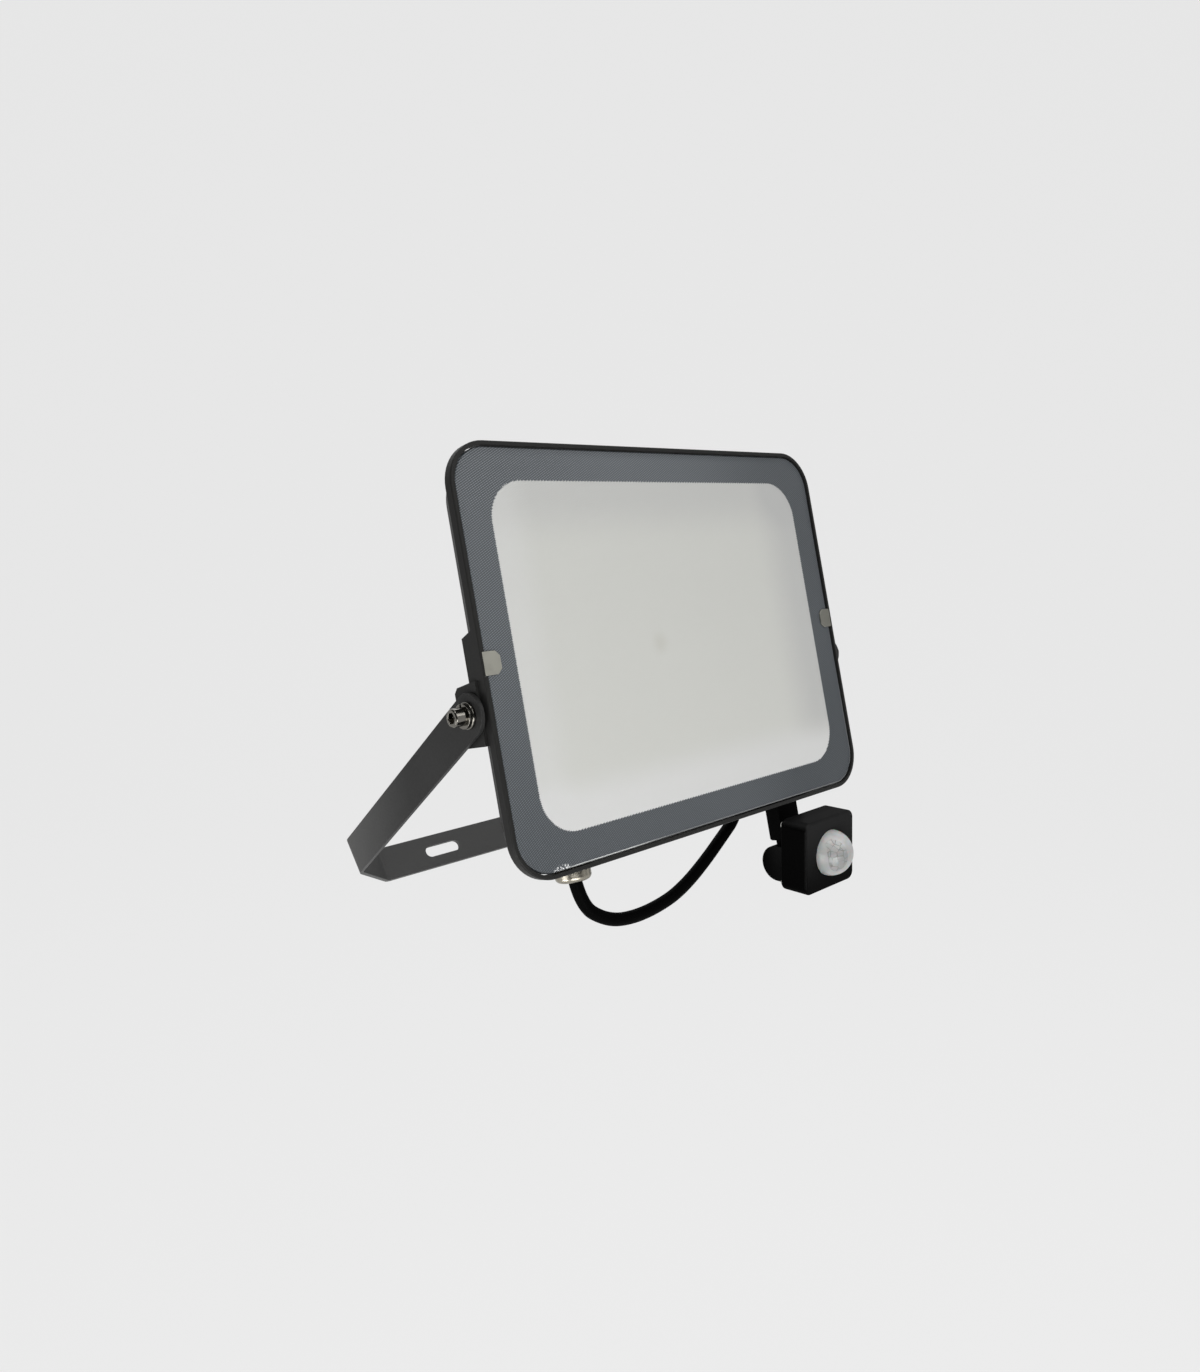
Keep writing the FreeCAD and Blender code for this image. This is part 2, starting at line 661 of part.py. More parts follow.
def make_board():
    body = new_body("led_board", lamp_frame)
    pad(body, rounded_box(new_sketch(body, "XY_Plane", floor_level), s.board_width,
                          s.board_height, s.board_corner), s.board_thickness)
    holes = new_sketch(body, "XY_Plane", floor_level)
    for x, y in screw_spots():
        circle(holes, s.board_screw + 4 * s.thread_clearance, x, y)
    cut(body, holes, s.board_thickness, back=True)


def make_chips():
    """Rows of LED chips, each a separate solid on the board."""
    board_top = floor_level + s.board_thickness
    body = new_body("led_chips", lamp_frame)
    body.AllowCompound = True
    x = -(s.chip_columns - 1) * s.chip_column_pitch / 2
    y = -(s.chip_rows - 1) * s.chip_row_pitch / 2
    chip = rectangle(new_sketch(body, "XY_Plane", board_top),
                     x - s.chip_width / 2, x + s.chip_width / 2,
                     y - s.chip_height / 2, y + s.chip_height / 2)
    first = pad(body, chip, s.chip_thickness)
    grid = body.newObject("PartDesign::MultiTransform", "MultiTransform")
    grid.Originals = [first]
    steps = []
    for axis, count, pitch in (("X_Axis", s.chip_columns, s.chip_column_pitch),
                               ("Y_Axis", s.chip_rows, s.chip_row_pitch)):
        step = body.newObject("PartDesign::LinearPattern", "LinearPattern")
        step.Direction = (next(f for f in body.Origin.OriginFeatures if f.Role == axis), [""])
        step.Mode = "Spacing"
        bind(step, "Offset", pitch)
        bind(step, "Occurrences", count)
        steps.append(step)
    grid.Transformations = steps
    body.Tip = grid
    doc.recompute()


def make_driver_parts():
    """Rectifier, fuse, varistor and current regulators on the board's middle line."""
    board_top = floor_level + s.board_thickness
    body = new_body("driver_components", lamp_frame)
    body.AllowCompound = True
    layout = ((-70, 7, 3.2, 2.4), (-56, 6, 3.2, 2.2), (-42, 5, 3.8, 1.6), (-28, 5, 3.8, 1.6),
              (28, 5, 3.8, 1.6), (42, 5, 3.8, 1.6))
    for x, length, width, height in layout:
        spot = s.chip_column_pitch * (x / 14)
        scale = s.chip_width / 2.8
        box = rectangle(new_sketch(body, "XY_Plane", board_top),
                        spot - scale * (length / 2), spot + scale * (length / 2),
                        -scale * (width / 2), scale * (width / 2))
        pad(body, box, scale * height)


def screw_body(label, shank, shank_length, head, head_height, drive_depth=0.5):
    """A pan-head screw along Z with its head above the origin and a cross recess."""
    body = new_body(label, FreeCAD.Placement())
    profile = new_sketch(body, "XZ_Plane")
    crown = head_height * 0.55
    outline(profile, (
        (0, -shank_length), (shank / 2, -shank_length), (shank / 2, 0), (head / 2, 0),
        (head / 2, crown), (head / 2 - (head_height - crown), head_height), (0, head_height)))
    spin(body, profile)
    arm, blade = head * 0.3, head * 0.08
    for wide, tall in ((arm, blade), (blade, arm)):
        slot = rectangle(new_sketch(body, "XY_Plane", head_height), -wide, wide, -tall, tall)
        cut(body, slot, head_height * drive_depth)
    return body


def make_board_screws():
    board_top = floor_level + s.board_thickness
    screw = screw_body("board_screw", s.board_screw, s.board_screw_length, s.board_screw * 1.9,
                       s.board_screw * 0.7)
    group("board_screws", copies(screw, [in_lamp(upright, x, y, board_top)
                                         for x, y in screw_spots()]))


# Pivot bolts and washers. Each is modelled along Z and turned to the lamp's sides.

def side_placements(distance):
    """Both sides of the lamp at the pivot, Z pointing outwards."""
    spots = []
    for side in (-1, 1):
        spots.append(in_lamp(turned(y_axis, 90 * side), side * distance, -s.pivot_below,
                             -s.pivot_depth))
    return spots


def make_pivot_bolts():
    under_head = leg_outside + s.leg_clearance + s.washer_thickness + s.spring_thickness
    length = under_head - lug_face + s.bolt_thread - s.thread_clearance
    bolt = new_body("pivot_bolt", FreeCAD.Placement())
    profile = new_sketch(bolt, "XZ_Plane")
    bevel = s.bolt_head * 0.06
    outline(profile, (
        (0, -length), (s.bolt_diameter / 2, -length), (s.bolt_diameter / 2, 0),
        (s.bolt_head / 2, 0), (s.bolt_head / 2, s.bolt_head_height - bevel),
        (s.bolt_head / 2 - bevel, s.bolt_head_height), (0, s.bolt_head_height)))
    spin(bolt, profile)
    socket = hexagon(new_sketch(bolt, "XY_Plane", s.bolt_head_height), s.bolt_socket)
    cut(bolt, socket, s.socket_depth)
    group("pivot_bolts", copies(bolt, side_placements(under_head)))


def ring_body(label, outside, inside, height):
    body = new_body(label, FreeCAD.Placement())
    ring = new_sketch(body)
    circle(ring, outside)
    circle(ring, inside)
    pad(body, ring, height)
    return body


def make_washers():
    inside = s.bolt_diameter + 2 * s.leg_clearance
    face = leg_outside + s.leg_clearance
    flat = ring_body("flat_washer", s.washer_diameter, inside, s.washer_thickness)
    chamfer(flat, lambda spot: near(spot.z, s.washer_thickness) and spot.Length > s.bolt_head.value / 2,
            s.washer_thickness / 5)
    group("flat_washers", copies(flat, side_placements(face)))
    spring = ring_body("spring_washer", s.spring_washer, inside, s.spring_thickness)
    split = rectangle(new_sketch(spring), -s.spring_gap / 2, s.spring_gap / 2, s.bolt_diameter / 4,
                      s.spring_washer)
    cut(spring, split, s.spring_thickness, back=True)
    group("spring_washers", copies(spring, side_placements(face + s.washer_thickness)))


# Cable gland. Its pieces are modelled along Z, which points down out of the housing.

gland_frame = in_lamp(turned(x_axis, 90), -s.gland_offset, -s.gland_face, -s.gland_depth)
cord_bore = s.cord_diameter + 2 * s.cord_fit
corner_turn = 30


def make_gland():
    body = new_body("gland_body", gland_frame)
    thread_length = s.gland_face - s.cavity_height / 2
    pad(body, hexagon(new_sketch(body), s.gland_hex, corner_turn), s.gland_hex_height)
    pad(body, circle(new_sketch(body), s.gland_thread), thread_length, back=True)
    cut(body, circle(new_sketch(body), cord_bore + 1), both_sides=True)
    nut = new_body("gland_nut", gland_frame)
    mouth = s.gland_hex_height + s.gland_nut_height
    pad(nut, hexagon(new_sketch(nut, "XY_Plane", s.gland_hex_height), s.gland_hex, corner_turn),
        s.gland_nut_height - s.gland_collar_height)
    collar = circle(new_sketch(nut, "XY_Plane", mouth), s.gland_collar)
    pad(nut, collar, s.gland_collar_height, back=True)
    fillet(nut, lambda spot: near(spot.z, mouth), s.gland_round)
    cut(nut, circle(new_sketch(nut), s.nut_mouth), both_sides=True)
    seat = circle(new_sketch(nut, "XY_Plane", s.gland_hex_height),
                  s.seal_diameter + 2 * s.cord_fit)
    cut(nut, seat, s.seal_lift + s.seal_height, back=True)
    seal = new_body("gland_seal", gland_frame)
    ring = new_sketch(seal, "XY_Plane", s.gland_hex_height + s.seal_lift)
    circle(ring, s.seal_diameter)
    circle(ring, cord_bore)
    pad(seal, ring, s.seal_height)


# Cord, in the lamp frame: out of the gland, down and across in a hanging loop, and into the
# chamber's side

cord_start, cord_drop = 3, 26
cord_loop = (
    (17.3, -39.4, -0.3), (38.0, -42.9, -1.1), (63.5, -41.3, -3.0), (82.0, -36.3, -4.5),
    (102.0, -27.9, -6.5), (122.0, -18.3, -9.0), (136.5, -12.4, -12.0),
)
cord_lead, cord_inside = 11, 7


def cord_route():
    gland = vec(-s.gland_offset, -s.gland_face, -s.gland_depth)
    entry = vec(s.arm_offset - s.chamber_width / 2, -s.grommet_below, -s.grommet_depth)
    loop = [gland + vec(*spot) for spot in cord_loop]
    return [gland - vec(0, cord_start, 0), gland - vec(0, cord_drop, 0), *loop,
            entry - vec(cord_lead, 0, 0), entry + vec(cord_inside, 0, 0)]


def tube_path(spots):
    """Straight runs joined by tangent arcs, as large as the runs allow."""
    edges = []
    radii = []
    at = spots[0]
    for before, corner, after in zip(spots, spots[1:], spots[2:]):
        inward, outward = corner - before, after - corner
        turn = inward.getAngle(outward)
        reach = 0.45 * min(inward.Length, outward.Length)
        radius = reach / math.tan(turn / 2)
        radii.append(radius)
        inward.normalize()
        outward.normalize()
        start = corner - inward * reach
        end = corner + outward * reach
        across = (outward - inward).normalize()
        centre = corner + across * math.hypot(radius, reach)
        middle = centre - across * radius
        edges.append(Part.LineSegment(at, start).toShape())
        edges.append(Part.Arc(start, middle, end).toShape())
        at = end
    edges.append(Part.LineSegment(at, spots[-1]).toShape())
    return Part.Wire(edges), radii


def make_cord():
    spots = cord_route()
    path, radii = tube_path(spots)
    mouth = Part.Circle(spots[0], spots[1] - spots[0], s.cord_diameter.value / 2)
    end = Part.Wire(mouth.toShape())
    tube = path.makePipeShell([end], True, False)
    item = doc.addObject("Part::Feature", "Cord")
    item.Label = "lamp_cord"
    item.Shape = tube
    item.Placement = lamp_frame
    parts["lamp_cord"] = item
    expected = path.Length * math.pi * (s.cord_diameter.value / 2) ** 2
    print("cord length", round(path.Length, 1), "radii", [round(r, 1) for r in radii],
          "volume share", round(tube.Volume / expected, 4))


# Sensor arm and junction chamber

chamber_back = back_level - s.chamber_depth
chamber_middle = -(s.chamber_top + s.chamber_bottom) / 2


def post_spots():
    """Cover screw posts in two opposite corners of the chamber."""
    inset = s.chamber_wall + s.post_diameter / 3
    x = s.chamber_width / 2 - inset
    y = (s.chamber_bottom - s.chamber_top) / 2 - inset
    return ((s.arm_offset - x, chamber_middle + y), (s.arm_offset + x, chamber_middle - y))


def make_arm():
    """One moulding: the chamber against the lamp's back, the stem and its round tongue."""
    body = new_body("sensor_arm", lamp_frame)
    height = s.chamber_bottom - s.chamber_top
    box = rounded_box(new_sketch(body, "XY_Plane", back_level), s.chamber_width, height,
                      s.chamber_corner, s.arm_offset, chamber_middle)
    pad(body, box, s.chamber_depth, back=True)
    inner = rounded_box(new_sketch(body, "XY_Plane", chamber_back),
                        s.chamber_width - 2 * s.chamber_wall, height - 2 * s.chamber_wall,
                        s.chamber_corner - s.chamber_wall / 2, s.arm_offset, chamber_middle)
    cut(body, inner, s.chamber_depth - s.chamber_floor, back=True)
    posts = new_sketch(body, "XY_Plane", back_level - s.chamber_floor)
    for x, y in post_spots():
        circle(posts, s.post_diameter, x, y)
    pad(body, posts, s.chamber_depth - s.chamber_floor, back=True)
    stem = rectangle(new_sketch(body, "XY_Plane", back_level),
                     s.arm_offset - s.stem_width / 2, s.arm_offset + s.stem_width / 2,
                     -s.stem_end, -s.chamber_bottom + s.chamber_wall / 2)
    pad(body, stem, s.stem_depth, back=True)
    fillet(body, lambda spot: near(spot.y, -s.stem_end), 1.5)
    neck = rectangle(new_sketch(body, "YZ_Plane", s.arm_offset), -s.knuckle_below,
                     s.stem_width / 4 - s.stem_end, back_level - s.stem_depth + s.ear_gap,
                     back_level - s.ear_gap)
    pad(body, neck, s.tongue_width, both_sides=True)
    tongue = circle(new_sketch(body, "YZ_Plane", s.arm_offset), 2 * s.tongue_radius,
                    -s.knuckle_below, knuckle_level)
    pad(body, tongue, s.tongue_width, both_sides=True)
    bore = circle(new_sketch(body, "YZ_Plane", s.arm_offset),
                  s.knuckle_screw + 2 * s.leg_clearance, -s.knuckle_below, knuckle_level)
    cut(body, bore, s.tongue_width, both_sides=True)
    entry = circle(new_sketch(body, "YZ_Plane", s.arm_offset - s.chamber_width / 2),
                   s.grommet_body, -s.grommet_below, -s.grommet_depth)
    cut(body, entry, s.chamber_wall, back=True)
    holes = new_sketch(body, "XY_Plane", back_level)
    for x, y in arm_screw_spots():
        circle(holes, s.board_screw + 4 * s.thread_clearance, x, y)
    circle(holes, s.wire_hole, s.arm_offset, -(s.arm_screw_top + s.arm_screw_spacing / 2))
    cut(body, holes, s.chamber_floor)
    taps = new_sketch(body, "XY_Plane", chamber_back)
    for x, y in post_spots():
        circle(taps, s.shell_screw + 2 * s.thread_clearance, x, y)
    cut(body, taps, s.shell_screw_length - s.cover_thickness, back=True)


def make_chamber_pieces():
    height = s.chamber_bottom - s.chamber_top
    cover = new_body("junction_cover", lamp_frame)
    plate = rounded_box(new_sketch(cover, "XY_Plane", chamber_back), s.chamber_width, height,
                        s.chamber_corner, s.arm_offset, chamber_middle)
    pad(cover, plate, s.cover_thickness, back=True)
    holes = new_sketch(cover, "XY_Plane", chamber_back)
    for x, y in post_spots():
        circle(holes, s.shell_screw + 4 * s.thread_clearance, x, y)
    cut(cover, holes, s.cover_thickness)
    outer = chamber_back - s.cover_thickness
    chamfer(cover, lambda spot: near(spot.z, outer) and not_at_post(spot), s.cover_thickness / 3)
    facing_back = turned(x_axis, 180)
    screw = screw_body("cover_screw", s.shell_screw, s.shell_screw_length - 1, s.shell_screw * 1.9,
                       s.shell_screw * 0.7)
    group("cover_screws", copies(screw, [in_lamp(facing_back, x, y, outer)
                                         for x, y in post_spots()]))
    chamber_level = back_level - s.chamber_floor
    screw = screw_body("arm_screw", s.board_screw, s.chamber_floor + s.floor_thickness - 1.5,
                       s.board_screw * 1.9, s.board_screw * 0.7)
    group("arm_screws", copies(screw, [in_lamp(facing_back, x, y, chamber_level)
                                       for x, y in arm_screw_spots()]))
    grommet_frame = in_lamp(turned(y_axis, 90), s.arm_offset - s.chamber_width / 2,
                            -s.grommet_below, -s.grommet_depth)
    grommet = new_body("cord_grommet", grommet_frame)
    profile = new_sketch(grommet, "XZ_Plane")
    wide, slim = s.grommet_flange / 2, s.grommet_body / 2 - s.cord_fit / 2
    outline(profile, (
        (cord_bore / 2, -s.grommet_lip), (wide, -s.grommet_lip), (wide, 0), (slim, 0),
        (slim, s.chamber_wall), (slim + s.grommet_snap, s.chamber_wall),
        (slim, s.chamber_wall + s.grommet_lip),
        (cord_bore / 2, s.chamber_wall + s.grommet_lip)))
    spin(grommet, profile)


def not_at_post(spot):
    return all(math.hypot(spot.x - value_of(x), spot.y - value_of(y)) > s.shell_screw.value
               for x, y in post_spots())


def make_terminal_block():
    """Three ways in one moulding, with its screw wells facing the cover."""
    body = new_body("terminal_block", lamp_frame)
    level = back_level - s.chamber_floor
    x = s.arm_offset + s.chamber_width / 2 - s.chamber_wall - s.block_width / 2 - 1
    y = -(s.arm_screw_top + s.arm_screw_spacing / 2)
    half, run = s.block_width / 2, s.block_length / 2
    pad(body, rectangle(new_sketch(body, "XY_Plane", level), x - half, x + half, y - run, y + run),
        s.block_height, back=True)
    wells = new_sketch(body, "XY_Plane", level - s.block_height)
    for i in (-1, 0, 1):
        circle(wells, s.block_length / 5, x, y + s.block_length * (i / 3))
    cut(body, wells, s.block_height / 2, back=True)


# Sensor head, in its own frame with the origin on the tilt axis

head_middle = s.head_height / 2 - s.head_bottom


def shell_screw_spots():
    x = s.head_width / 2 - s.shell_screw_inset
    y = s.head_height / 2 - s.shell_screw_inset
    return [(i * x, head_middle + j * y) for i in (-1, 1) for j in (-1, 1)]


def trimmer_places():
    return (("sensitivity_trimmer", -s.trimmer_spacing), ("time_trimmer", 0),
            ("light_trimmer", s.trimmer_spacing))


def make_front_shell():
    body = new_body("sensor_front_shell", head_frame)
    depth = s.head_front - s.head_split
    pad(body, rounded_box(new_sketch(body, "XY_Plane", s.head_split), s.head_width,
                          s.head_height, s.head_corner, 0, head_middle), depth)
    fillet(body, lambda spot: near(spot.z, s.head_front), s.head_edge)
    wall = 2 * s.head_wall
    cut(body, rounded_box(new_sketch(body, "XY_Plane", s.head_split), s.head_width - wall,
                          s.head_height - wall, s.head_corner - s.head_wall, 0, head_middle),
        depth - s.head_wall, back=True)
    bosses = new_sketch(body, "XY_Plane", s.head_split)
    for x, y in shell_screw_spots():
        circle(bosses, s.shell_boss, x, y)
    pad(body, bosses, depth - s.head_wall / 2)
    taps = new_sketch(body, "XY_Plane", s.head_split)
    for x, y in shell_screw_spots():
        circle(taps, s.shell_screw + 2 * s.thread_clearance, x, y)
    cut(body, taps, s.shell_screw_length - (s.head_split - s.head_back) + 0.5, back=True)
    cut(body, circle(new_sketch(body, "XY_Plane", s.head_front), s.dome_diameter + 2 * s.dome_fit,
                     0, head_middle), 2 * s.head_wall)
    trimmers = new_sketch(body, "XZ_Plane", s.head_bottom)
    for _, x in trimmer_places():
        circle(trimmers, s.trimmer_diameter + 2 * s.leg_clearance, x, s.trimmer_forward)
    cut(body, trimmers, s.head_wall)


def make_rear_shell():
    """The back of the head with the two ears that clamp the arm's tongue."""
    body = new_body("sensor_rear_shell", head_frame)
    depth = s.head_split - s.head_back
    pad(body, rounded_box(new_sketch(body, "XY_Plane", s.head_back), s.head_width,
                          s.head_height, s.head_corner, 0, head_middle), depth)
    fillet(body, lambda spot: near(spot.z, s.head_back), s.head_edge)
    wall = 2 * s.head_wall
    cut(body, rounded_box(new_sketch(body, "XY_Plane", s.head_split), s.head_width - wall,
                          s.head_height - wall, s.head_corner - s.head_wall, 0, head_middle),
        depth - s.head_wall)
    inside = s.tongue_width / 2 + s.ear_gap
    thick = s.ear_outside - inside
    ears = []
    for start in (inside, -s.ear_outside):
        ears.append(pad(body, circle(new_sketch(body, "YZ_Plane", start), 2 * s.ear_radius), thick))
        web = rectangle(new_sketch(body, "YZ_Plane", start), -s.ear_radius, s.ear_radius, 0,
                        s.head_back + s.head_wall / 2)
        ears.append(pad(body, web, thick))
    bore = s.knuckle_screw + 2 * s.thread_clearance
    cut(body, circle(new_sketch(body, "YZ_Plane", inside), bore), thick, back=True)
    nut_pocket = hexagon(new_sketch(body, "YZ_Plane", -inside),
                         s.knuckle_nut + 2 * s.thread_clearance)
    cut(body, nut_pocket, s.nut_height)
    tip = circle(new_sketch(body, "YZ_Plane", -inside), bore)
    cut(body, tip, s.nut_height + s.screw_tip + s.thread_clearance)
    holes = new_sketch(body, "XY_Plane", s.head_back)
    for x, y in shell_screw_spots():
        circle(holes, s.shell_screw + 4 * s.thread_clearance, x, y)
    cut(body, holes, 2 * s.head_wall, back=True)


def make_dome():
    """Fresnel lens: a thin dome with a flange behind the front wall."""
    body = new_body("fresnel_dome", in_head(upright, 0, head_middle, 0))
    profile = new_sketch(body, "XZ_Plane")
    seat = s.head_front - s.head_wall
    foot = seat - s.dome_flange_height
    r, h = s.dome_diameter / 2, s.dome_height
    top = s.head_front + h
    ball = (r.value ** 2 + h.value ** 2) / (2 * h.value)
    inner_r, inner_h = r - s.dome_wall, h - s.dome_wall
    inner_ball = (inner_r.value ** 2 + inner_h.value ** 2) / (2 * inner_h.value)
    outer_ball = (r * r + h * h) / (2 * h)
    hollow_ball = (inner_r * inner_r + inner_h * inner_h) / (2 * inner_h)

    def on_ball(ball_radius, base, rise):
        angle = math.asin(base / ball_radius) / 2
        drop = ball_radius * (1 - math.cos(angle))
        return ball_radius * math.sin(angle), s.head_front.value + rise - drop

    outline(profile, (
        (0, top), (r, s.head_front), (r, seat), (s.dome_flange / 2, seat),
        (s.dome_flange / 2, foot), (inner_r, foot), (inner_r, s.head_front), (0, top - s.dome_wall)),
        {0: (outer_ball, on_ball(ball, r.value, h.value)),
         6: (hollow_ball, on_ball(inner_ball, inner_r.value, inner_h.value))})
    spin(body, profile)


def make_sensor_board():
    level = s.head_split - s.sensor_board_lift
    body = new_body("sensor_board", head_frame)
    pad(body, rounded_box(new_sketch(body, "XY_Plane", level), s.sensor_board_width,
                          s.sensor_board_height, s.board_corner / 3, 0, head_middle),
        s.sensor_board_thickness)
    room = new_sketch(body, "XY_Plane", level)
    for x, y in shell_screw_spots():
        circle(room, s.shell_boss + 1, x, y)
    cut(body, room, s.sensor_board_thickness, back=True)


def make_sensor_parts():
    """Infrared element under the dome, and the other parts on the board."""
    level = s.head_split - s.sensor_board_lift + s.sensor_board_thickness
    element = new_body("infrared_element", head_frame)
    pad(element, circle(new_sketch(element, "XY_Plane", level), s.element_diameter, 0, head_middle),
        s.element_height)
    fillet(element, lambda spot: near(spot.z, level + s.element_height), 0.6)
    window = rectangle(new_sketch(element, "XY_Plane", level + s.element_height),
                       -s.element_diameter / 4, s.element_diameter / 4,
                       head_middle - s.element_diameter / 5, head_middle + s.element_diameter / 5)
    cut(element, window, s.element_height / 10)
    others = new_body("sensor_components", head_frame)
    others.AllowCompound = True
    top = head_middle + s.sensor_board_height / 2
    can = circle(new_sketch(others, "XY_Plane", level), s.element_diameter * 0.7, 0,
                 top - s.element_diameter * 0.45)
    pad(others, can, s.element_height)
    for side in (-1, 1):
        chip_x = side * s.sensor_board_width / 3
        chip = rectangle(new_sketch(others, "XY_Plane", level), chip_x - s.chip_height,
                         chip_x + s.chip_height, head_middle - s.chip_height,
                         head_middle + s.chip_height)
        pad(others, chip, s.chip_thickness * 2)


def make_trimmers():
    """Three screwdriver adjusters in the bottom wall, each on its own potentiometer."""
    face = -s.head_bottom - s.trimmer_proud
    pots = new_body("trimmer_pots", head_frame)
    pots.AllowCompound = True
    roof = face + s.trimmer_head + s.trimmer_stem_length
    level = s.head_split - s.sensor_board_lift + s.sensor_board_thickness
    for label, x in trimmer_places():
        knob = new_body(label, in_head(turned(x_axis, -90), x, face, s.trimmer_forward))
        pad(knob, circle(new_sketch(knob), s.trimmer_diameter), s.trimmer_head)
        pad(knob, circle(new_sketch(knob), s.trimmer_stem), s.trimmer_head + s.trimmer_stem_length)
        reach, half = s.trimmer_diameter * 0.4, s.trimmer_slot / 2
        cut(knob, rectangle(new_sketch(knob), -reach, reach, -half, half), s.trimmer_slot, back=True)
        centre = x if isinstance(x, Size) else s.trimmer_spacing * 0
        box = rectangle(new_sketch(pots, "XY_Plane", level), centre - s.pot_width / 2,
                        centre + s.pot_width / 2, roof - s.trimmer_stem_length / 2 + s.ear_gap,
                        roof + s.pot_height)
        pad(pots, box, s.trimmer_forward + s.trimmer_diameter / 2 - level)
        spindle = circle(new_sketch(pots, "XZ_Plane", -roof + s.trimmer_stem_length),
                         s.trimmer_stem + 4 * s.leg_clearance, x, s.trimmer_forward)
        cut(pots, spindle, 2 * s.trimmer_stem_length, both_sides=True)


def make_head_fasteners():
    inside = s.tongue_width / 2 + s.ear_gap
    length = s.ear_outside + inside + s.nut_height + s.screw_tip
    along = in_head(turned(y_axis, 90), s.ear_outside, 0, 0)
    screw = screw_body("knuckle_screw", s.knuckle_screw, length, s.knuckle_head,
                       s.knuckle_head_height)
    screw.Placement = along
    nut = new_body("knuckle_nut", in_head(turned(y_axis, 90), -inside - s.nut_height, 0, 0))
    pad(nut, hexagon(new_sketch(nut), s.knuckle_nut, 90), s.nut_height)
    cut(nut, circle(new_sketch(nut), s.knuckle_screw + 2 * s.thread_clearance), both_sides=True)
    facing_back = turned(x_axis, 180)
    shell = screw_body("shell_screw", s.shell_screw, s.shell_screw_length, s.shell_screw * 1.9,
                       s.shell_screw * 0.7)
    group("shell_screws", copies(shell, [in_head(facing_back, x, y, s.head_back)
                                         for x, y in shell_screw_spots()]))


make_bracket()
make_housing()
make_glass()
make_gasket()
make_clip("clip_left", -1)
make_clip("clip_right", 1)
make_tray()
make_board()
make_chips()
make_driver_parts()
make_board_screws()
make_pivot_bolts()
make_washers()
make_gland()
make_cord()
make_arm()
make_chamber_pieces()
make_terminal_block()
make_front_shell()
make_rear_shell()
make_dome()
make_sensor_board()
make_sensor_parts()
make_trimmers()
make_head_fasteners()
doc.recompute()

for item in doc.Objects:
    if "Invalid" in item.State or "Error" in item.State:
        raise RuntimeError(f"{item.Name} {item.Label}: {item.State}")
for label, item in parts.items():
    if item.Shape.isNull() or not item.Shape.isValid():
        raise RuntimeError(f"{label}: its shape is empty or not valid")

os.makedirs("parts", exist_ok=True)
for label, item in parts.items():
    item.Shape.exportStep(f"parts/{label}.step")
print("pieces", len(parts), "pivot", [round(v, 3) for v in pivot],
      "knuckle", [round(v, 3) for v in knuckle])
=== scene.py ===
import bpy
import bmesh
import json
import math
from mathutils import Euler, Matrix, Vector


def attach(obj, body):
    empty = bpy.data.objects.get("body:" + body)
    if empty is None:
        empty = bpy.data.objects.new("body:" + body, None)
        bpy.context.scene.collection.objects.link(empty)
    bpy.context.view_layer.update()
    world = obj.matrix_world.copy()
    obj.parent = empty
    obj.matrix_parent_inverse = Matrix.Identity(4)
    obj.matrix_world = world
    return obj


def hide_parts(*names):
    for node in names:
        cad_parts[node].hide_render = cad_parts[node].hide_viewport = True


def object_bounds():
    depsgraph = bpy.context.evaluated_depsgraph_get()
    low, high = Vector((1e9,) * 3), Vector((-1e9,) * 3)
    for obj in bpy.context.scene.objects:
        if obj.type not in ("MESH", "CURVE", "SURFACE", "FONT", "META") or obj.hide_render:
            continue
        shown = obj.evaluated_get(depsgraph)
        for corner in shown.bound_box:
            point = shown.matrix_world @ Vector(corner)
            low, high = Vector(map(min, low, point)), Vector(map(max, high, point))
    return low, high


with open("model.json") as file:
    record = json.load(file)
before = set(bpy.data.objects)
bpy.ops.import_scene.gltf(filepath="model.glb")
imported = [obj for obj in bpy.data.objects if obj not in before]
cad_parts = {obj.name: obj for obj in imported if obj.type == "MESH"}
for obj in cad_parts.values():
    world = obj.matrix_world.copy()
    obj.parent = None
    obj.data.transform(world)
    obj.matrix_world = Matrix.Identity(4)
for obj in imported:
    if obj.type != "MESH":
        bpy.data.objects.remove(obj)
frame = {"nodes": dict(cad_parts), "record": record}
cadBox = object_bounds()
print("frame loaded")

# Where the lamp and the sensor head stand. Local axes: x right, y up the face, z out of it.
lampStand = {"centre": (0.0, -0.14322, 0.14356), "lean": 14.55}
headStand = {"centre": (0.09035, -0.151531, -0.003878), "lean": 3.0}


def standMatrix(stand):
    lean = Matrix.Rotation(math.radians(90 - stand["lean"]), 4, "X")
    return Matrix.Translation(stand["centre"]) @ lean


lampMatrix = standMatrix(lampStand)
headMatrix = standMatrix(headStand)
mm = 0.001


# Camera

cameraView = {
    "place": (-0.4047, -0.51923, 0.21976), "down": 10.615, "turn": -42.438, "lens": 26.714,
    "nearest": 0.01, "farthest": 20,
}


def makeCamera():
    data = bpy.data.cameras.new("photoCamera")
    data.lens = cameraView["lens"]
    data.clip_start, data.clip_end = cameraView["nearest"], cameraView["farthest"]
    camera = bpy.data.objects.new("photoCamera", data)
    bpy.context.collection.objects.link(camera)
    camera.location = cameraView["place"]
    camera.rotation_euler = (math.radians(90 - cameraView["down"]), 0, math.radians(cameraView["turn"]))
    bpy.context.scene.camera = camera


makeCamera()
bpy.context.scene.view_settings.view_transform = "Standard"


# The cord comes first: its route repeats the one in the part's source, in metres in the lamp's axes

